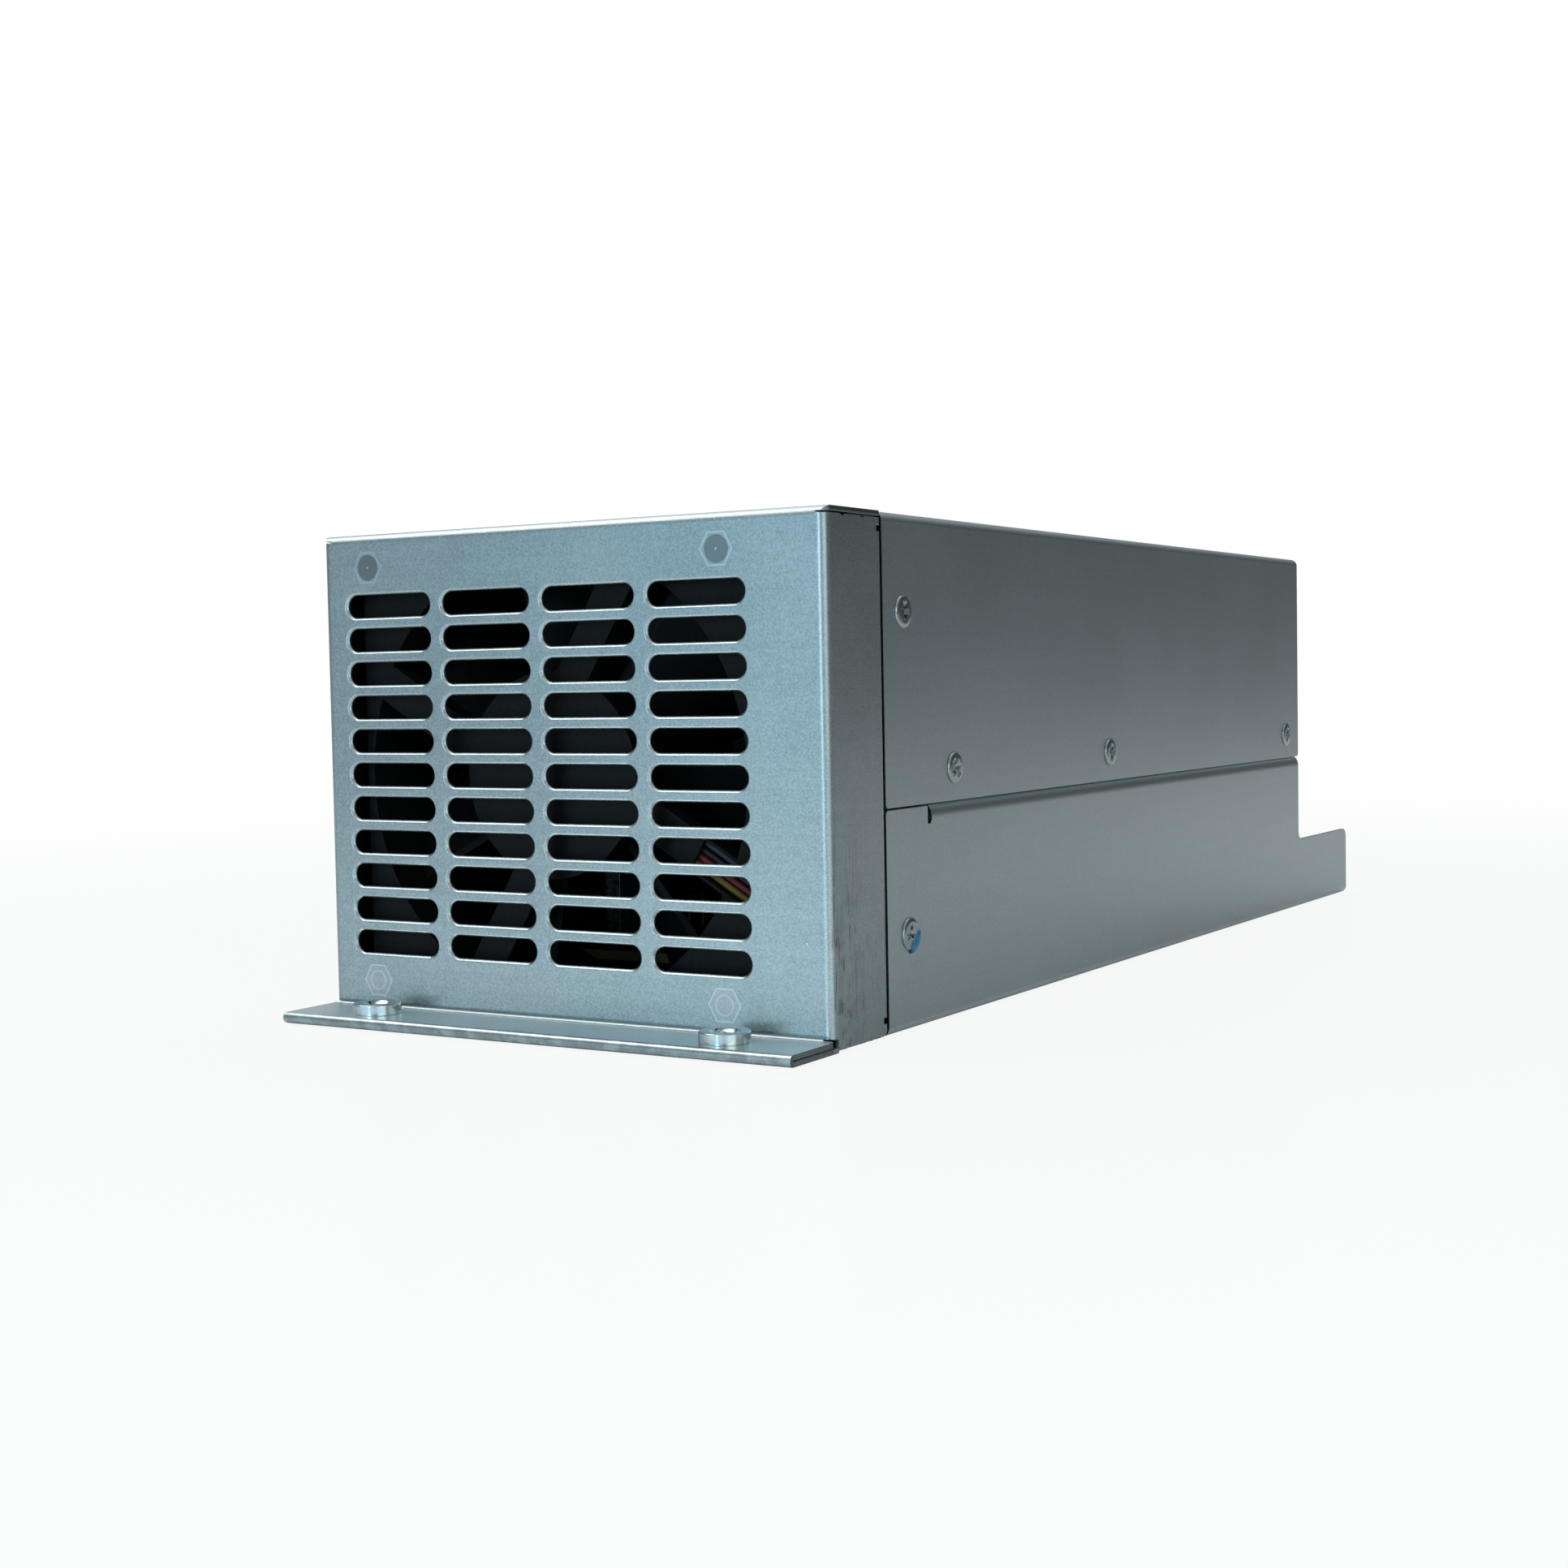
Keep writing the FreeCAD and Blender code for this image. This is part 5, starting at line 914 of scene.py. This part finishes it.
def paint_mark():
    sweep, start_turn = math.radians(105), math.radians(-5)
    end_scale = 0.25
    outline = [(1.45, 0.4), (1.7, 0.74), (2.2, 0.88), (2.9, 0.82), (3.45, 0.6), (3.8, 0.28), (3.95, 0.02),
               (3.0, 0.02), (1.9, 0.2)]
    shape = bmesh.new()
    loop = [shape.verts.new((radius * MM, 0, height * MM)) for radius, height in outline]
    end = shape.faces.new(loop)
    swept = bmesh.ops.spin(shape, geom=[end], cent=(0, 0, 0), axis=(0, 0, 1), angle=sweep, steps=16)
    last = [item for item in swept["geom_last"] if isinstance(item, bmesh.types.BMVert)]
    for ring in (loop, last):
        middle = sum((vert.co for vert in ring), Vector()) / len(ring)
        shrink = Matrix.Translation(middle) @ Matrix.Scale(end_scale, 4) @ Matrix.Translation(-middle)
        bmesh.ops.transform(shape, matrix=shrink, verts=ring)
    bmesh.ops.remove_doubles(shape, verts=shape.verts, dist=TINY)
    bmesh.ops.smooth_vert(shape, verts=shape.verts, factor=0.35,
                          use_axis_x=True, use_axis_y=True, use_axis_z=True)
    bmesh.ops.recalc_face_normals(shape, faces=shape.faces)
    middle = centre(max(solid_boxes("tray_screws"), key=lambda box: box[1].x))
    seat = Vector((side_x, middle.y, middle.z))
    bmesh.ops.transform(shape, matrix=facing(seat, (1, 0, 0), start_turn), verts=shape.verts)
    keep_piece(shape, "paint_mark", paint_finish())


paint_mark()

# %% [markdown]
# ## Moulded plastics
# The fan, the connectors and the terminal block are injection moulded. Their surface has a fine spark-eroded
# texture from the mould, slightly uneven gloss, and a tone that is a little lighter where it has been rubbed.
# One shared group gives the texture, and each plastic chooses its colours and grain size, as many other
# parts do.

# %% Moulded grain group
def moulded_grain_group():
    tree, given, wanted = shader_group("moulded_grain", {"Size": 1200.0}, ["Tone", "Gloss", "Height"])
    fine = given["Place"].noise(given["Size"])
    broad = given["Place"].noise(60.0, 3.0)
    fill(wanted["Tone"], fine * 0.45 + broad * 0.55)
    fill(wanted["Gloss"], broad)
    fill(wanted["Height"], fine)
    return tree


moulded_grain = moulded_grain_group()


def moulded(name, dark, light, rough=(0.38, 0.55), size=1200.0, bump=0.15, metal=0.0, gloss=0.4):
    """Finish between two tones and two roughnesses. It keeps its colour, so that marks can be added."""
    finish = Finish(name, metallic=metal, specular_ior_level=0.5 if metal else gloss)
    grain = finish.use(moulded_grain, Size=size)
    finish.colour = grain["Tone"].remap(0.3, 0.7).mix(dark, light)
    finish.set(base_color=finish.colour, roughness=grain["Gloss"].remap(0.3, 0.7, *rough))
    finish.relief(grain["Height"], bump, 0.05)
    return finish


black_moulding = moulded("black_moulding", (0.010, 0.011, 0.013), (0.022, 0.023, 0.026))
fan_moulding = moulded("fan_moulding", (0.003, 0.0035, 0.004), (0.008, 0.009, 0.010), (0.42, 0.6), gloss=0.16)
white_moulding = moulded("white_moulding", (0.66, 0.65, 0.60), (0.78, 0.77, 0.72), (0.35, 0.5))
print("moulded finishes ready")

# %% [markdown]
# ## Fan
# Behind the slots stands an axial fan in a square black frame. Four struts carry its motor, and the impeller
# is one moulding with seven twisted blades. The drawn shapes are right, so they only get soft edges, even
# shading and the plastic. The impeller, its shaft and its magnet ring turn, so they ride on the rotor.

# %% Fan mouldings
refine("fan_frame", fan_moulding, 0.2)
refine("fan_impeller", fan_moulding, 0.12, body="fan_rotor", least=65)

# %% [markdown]
# The motor inside is seldom seen, but it is there: ground shaft, two ball bearings, a ring magnet and a
# laminated stator. The laminations are thin steel sheets stacked along the axis, drawn with a wave texture.

# %% Fan motor finishes
def laminated():
    finish = moulded("laminated_core", (0.10, 0.075, 0.05), (0.22, 0.16, 0.10), (0.35, 0.5), metal=0.6)
    inputs = {"Vector": finish.place, "Scale": 600.0, "Distortion": 0.2}
    wave = finish.place.then("ShaderNodeTexWave", inputs, "Fac", bands_direction="Y", wave_type="BANDS")
    finish.set(base_color=wave.mix(finish.colour, (0.30, 0.24, 0.18)))
    return finish


ground_steel = moulded("ground_steel", (0.46, 0.46, 0.47), (0.60, 0.60, 0.61), (0.16, 0.28),
                       size=900.0, bump=0.05, metal=1.0)
ring_magnet = moulded("ring_magnet", (0.03, 0.03, 0.03), (0.07, 0.07, 0.07), (0.5, 0.65),
                      size=1500.0, bump=0.3)
refine("fan_shaft", ground_steel, 0.1, body="fan_rotor")
refine("fan_magnet", ring_magnet, 0.15, body="fan_rotor")
refine("fan_bearings", ground_steel, 0.1)
refine("fan_stator", laminated(), 0.15)

# %% [markdown]
# Four thin leads run along one strut, past the frame and down to a white plug on the board. Soft insulation
# is slightly glossy. The lead colours are dark all over, as painted shade for the dim inside of the case, and
# their tone varies a little from place to place.

# %% Fan leads and plug
# Painted shade: the lead colours are darkened, as they lie in the dim inside of the case.
shaded_lead_tones = {
    "fan_lead_yellow": ((0.13, 0.085, 0.013), (0.22, 0.15, 0.026)),
    "fan_lead_red": ((0.10, 0.008, 0.010), (0.18, 0.016, 0.02)),
    "fan_lead_black": ((0.004, 0.004, 0.005), (0.010, 0.010, 0.011)),
    "fan_lead_blue": ((0.02, 0.028, 0.045), (0.04, 0.052, 0.08)),
}
for lead, (dark, light) in shaded_lead_tones.items():
    refine(lead, moulded(f"{lead}_insulation", dark, light, (0.28, 0.45), size=2500.0, bump=0.08))
for white_part in ("fan_header", "fan_plug"):
    refine(white_part, white_moulding, 0.25)

# %% [markdown]
# ## Circuit boards
# The boards are glass-fibre laminate under green solder resist. Copper tracks show through it as slightly
# lighter lines, and tinned pads sit around the holes. Two brick textures, one turned, draw the tracks where
# their mortar lies, broken up by noise. A cell texture places the pads. On the main board the cut edge shows
# bare laminate.

# %% Board finish
def track_mask(place, turn, step):
    """Thin lines of copper in one direction, broken at random."""
    black, white = (0, 0, 0, 1), (1, 1, 1, 1)
    spun = place.mapped(Rotation=turn, Scale=(step, step, step))
    bricks = spun.then("ShaderNodeTexBrick", {
        "Vector": spun, "Scale": 1.0, "Mortar Size": 0.05, "Mortar Smooth": 0.1, "Brick Width": 2.6,
        "Row Height": 0.32, "Color1": black, "Color2": black, "Mortar": white,
    }, "Fac")
    return bricks * place.noise(55.0, 1.0).remap(0.46, 0.52)


def cut_edge(place, box):
    """Mask of the rim of a level board."""
    low, high = box
    rim = 0.05 * MM
    x, y, _ = place.axes()
    return (abs(x) > high.x - rim) | (y > high.y - rim) | (y < low.y + rim)


def board_finish(name, turn, box=None):
    """Printed board, turned to lie in its plane. With a box, its rim shows bare laminate."""
    finish = moulded(name, (0.008, 0.055, 0.028), (0.012, 0.085, 0.042), (0.25, 0.38),
                     size=1500.0, bump=0.05)
    flat = finish.place.mapped(Rotation=turn)
    tracks = track_mask(flat, (0, 0, math.pi / 2), 110.0) | track_mask(flat, (0, 0, 0), 90.0)
    colour = (tracks * 0.75).mix(finish.colour, (0.035, 0.19, 0.085))
    cells = flat.then("ShaderNodeTexVoronoi", {"Vector": flat, "Scale": 130.0}, "Distance",
                      voronoi_dimensions="2D")
    pads = cells.remap(0.15, 0.12)
    colour = pads.mix(colour, (0.60, 0.60, 0.57))
    if box:
        edge = cut_edge(finish.place, box)
        colour = edge.mix(colour, (0.36, 0.33, 0.17))
        pads = pads * (1 - edge)
    finish.set(base_color=colour, metallic=pads)
    return finish


refine("main_board", board_finish("green_board", (0, 0, 0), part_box("main_board")), 0.05)
refine("control_board", board_finish("green_control_board", (math.pi / 2, 0, 0)), 0.05)

# %% [markdown]
# ## Rear tongue
# The tongue carries what is wired up by hand: a barrier terminal block with plated clamping plates, a fuse in
# spring clips and a small signal connector. Ceramic and caps of the fuse are one drawn solid, so its finish
# changes from white glaze to nickel by place. The connector gets the row of pins that the drawing leaves out.

# %% Terminals and fuse
def fuse_finish():
    cap_start = 9.0 * MM
    finish = moulded("glazed_fuse", (0.66, 0.64, 0.58), (0.78, 0.76, 0.70), (0.15, 0.25),
                     size=500.0, bump=0.04)
    x, _, _ = finish.place.axes()
    cap = abs(x - centre(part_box("input_fuse")).x) > cap_start
    finish.set(base_color=cap.mix(finish.colour, (0.62, 0.60, 0.55)), metallic=cap)
    return finish


tinned_brass = moulded("tinned_brass", (0.54, 0.52, 0.46), (0.70, 0.68, 0.62), (0.2, 0.34),
                       size=700.0, bump=0.08, metal=1.0)
refine("terminal_block", black_moulding, 0.25)
refine("terminal_plates", tinned_brass, 0.12)
refine("input_fuse", fuse_finish(), 0.15)
refine("fuse_clips", tinned_brass, 0.08)
refine("signal_connector", black_moulding, 0.2)

# %% Connector pins
def connector_pins():
    thick, length = 0.64, 5.4
    count, pitch = 6, 2.54 * MM
    wall, rise = 1.9 * MM, 0.3 * MM
    pin = bmesh.new()
    bmesh.ops.create_cube(pin, size=1)
    bmesh.ops.scale(pin, vec=Vector((thick, thick, length)) * MM, verts=pin.verts)
    tip = [edge for edge in pin.edges if both(edge, lambda point: point.z > 0)]
    bmesh.ops.bevel(pin, geom=tip, offset=0.2 * MM, affect="EDGES", segments=2, profile=0.5, material=-1)
    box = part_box("signal_connector")
    middle = centre(box)
    middle.y = box[0].y + wall + length / 2 * MM
    middle.z += rise
    steps = [(number - (count - 1) / 2) * pitch for number in range(count)]
    places = [facing(middle + Vector((step, 0, 0)), (0, 1, 0)) for step in steps]
    keep_piece(at_places(pin, places), "connector_pins", tinned_brass)


connector_pins()

# %% [markdown]
# ## Inside the case
# Through the slots one sees hints of the power parts: heat sinks, wound chokes, a transformer and capacitors.
# Extruded aluminium has fine lines along its length, so its noise is stretched that way. The devices are
# black epoxy bodies above tinned legs.

# %% Heat sinks and devices
TRANSISTOR_LEGS = 16.9
NO_LEGS = 0.0


def extruded():
    finish = Finish("extruded_aluminium", metallic=1.0)
    drawn = finish.place.mapped(Scale=(1600, 20, 1600)).noise(1.0, 3.0)
    colour = drawn.remap(0.3, 0.7).mix((0.50, 0.51, 0.52), (0.66, 0.67, 0.68))
    finish.set(base_color=colour, roughness=drawn.remap(0.3, 0.7, 0.26, 0.4))
    finish.relief(drawn, 0.2, 0.03)
    return finish


def epoxy_package(name, legs_below):
    """Black epoxy above tinned legs, which end at a height in millimetres."""
    finish = moulded(name, (0.012, 0.012, 0.013), (0.028, 0.028, 0.030), (0.45, 0.6),
                     size=1800.0, bump=0.2)
    _, _, z = finish.place.axes()
    leg = z < legs_below * MM
    finish.set(base_color=leg.mix(finish.colour, (0.58, 0.57, 0.54)), metallic=leg)
    return finish


aluminium = extruded()
package = epoxy_package("epoxy_package", TRANSISTOR_LEGS)
for sink in ("left_heatsink", "right_heatsink"):
    refine(sink, aluminium, 0.15)
for device in ("switch_transistors", "output_rectifiers", "bridge_rectifier"):
    refine(device, package, 0.12)
refine("control_chips", epoxy_package("chip_package", NO_LEGS), 0.1)
refine("control_header", black_moulding, 0.15)

# %% [markdown]
# Chokes and transformer are wound with enamelled copper. On a ring core the turns lie side by side all round,
# so the angle about the core's axis decides the band, and a sine of it gives each wire its round back. On the
# transformer the turns are stacked, so height takes the place of the angle. Between the wires the colour is
# painted dark, as painted shade in the gaps.

# %% Windings
def wound(name, turns, ring=None):
    """Copper wire, wound around the ring of a CAD node, or stacked if there is none."""
    finish = moulded(name, (0.30, 0.10, 0.03), (0.52, 0.20, 0.07), (0.2, 0.34),
                     size=500.0, bump=0.05, metal=1.0)
    x, y, angle = finish.place.axes()
    if ring:
        middle = centre(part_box(ring))
        angle = (y - middle.y).math("ARCTAN2", x - middle.x)
    strand_relief_and_shade = abs((angle * turns).math("SINE"))
    # Painted shade: darker between the wires, where the sine is near zero.
    finish.set(base_color=strand_relief_and_shade.remap(0.0, 0.35).mix((0.05, 0.015, 0.006), finish.colour))
    finish.relief(strand_relief_and_shade, 1.0, 0.6)
    return finish


strand_height = 0.9 * MM
ferrite = moulded("ferrite", (0.025, 0.025, 0.027), (0.06, 0.06, 0.063), (0.5, 0.65), size=1600.0, bump=0.35)
refine("power_choke", wound("wound_power_choke", 26, "power_choke"), 0.2)
refine("filter_choke", wound("wound_filter_choke", 22, "filter_choke"), 0.2)
refine("transformer_winding", wound("wound_transformer", math.pi / strand_height), 0.2)
refine("transformer_core", ferrite, 0.3)

# %% [markdown]
# Electrolytic cans wear a shrunk dark sleeve that leaves the bare aluminium top showing, stamped with a vent
# cross that is painted darker as painted shade in its grooves, and a paler stripe marks the negative side. The
# other boxes are cast in coloured resin.

# %% Capacitors and small boxes
def sleeved(name, node):
    finish = moulded(name, (0.012, 0.016, 0.035), (0.022, 0.03, 0.06), (0.28, 0.4),
                     size=800.0, bump=0.05)
    boxes = solid_boxes(node)
    x, y, z = finish.place.axes()
    top = z > boxes[0][1].z - 0.4 * MM
    cross, stripe = top * 0.0, top * 0.0
    for low, high in boxes:
        middle = centre((low, high))
        size = high - low
        aside, behind = abs(x - middle.x), y - middle.y
        thin = aside.math("MINIMUM", abs(behind)) < 0.25 * MM
        short = (aside | abs(behind)) < size.x * 0.3
        cross = cross | thin * short
        stripe = stripe | (aside < size.x * 0.12) * (behind > size.y * 0.3)
    colour = (stripe * 0.7).mix(finish.colour, (0.42, 0.44, 0.46))
    # Painted shade: the stamped vent cross is darker, as shade in its grooves.
    bare = cross.mix((0.66, 0.67, 0.68), (0.30, 0.30, 0.31))
    finish.set(base_color=top.mix(colour, bare), metallic=top)
    return finish


film_resin = moulded("film_resin", (0.50, 0.36, 0.05), (0.62, 0.46, 0.08), (0.3, 0.42), size=900.0, bump=0.1)
insulating_film = moulded("insulating_film", (0.05, 0.05, 0.052), (0.09, 0.09, 0.092), (0.3, 0.45),
                          size=600.0, bump=0.05)
refine("bulk_capacitors", sleeved("bulk_sleeve", "bulk_capacitors"), 0.1)
refine("output_capacitors", sleeved("output_sleeve", "output_capacitors"), 0.1)
refine("film_capacitors", film_resin, 0.1)
refine("inrush_relay", white_moulding, 0.1)
refine("insulating_sheet", insulating_film)

# %% [markdown]
# ## Hidden nodes
# Every drawn piece now has a dressed one in its place. A hidden node still gets its piece's finish, so that
# nothing is left without one.

# %% Finish for hidden nodes
for piece in list(scene.objects):
    for name in piece.get("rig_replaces", []):
        nodes[name].data.materials.clear()
        nodes[name].data.materials.append(piece.data.materials[0])
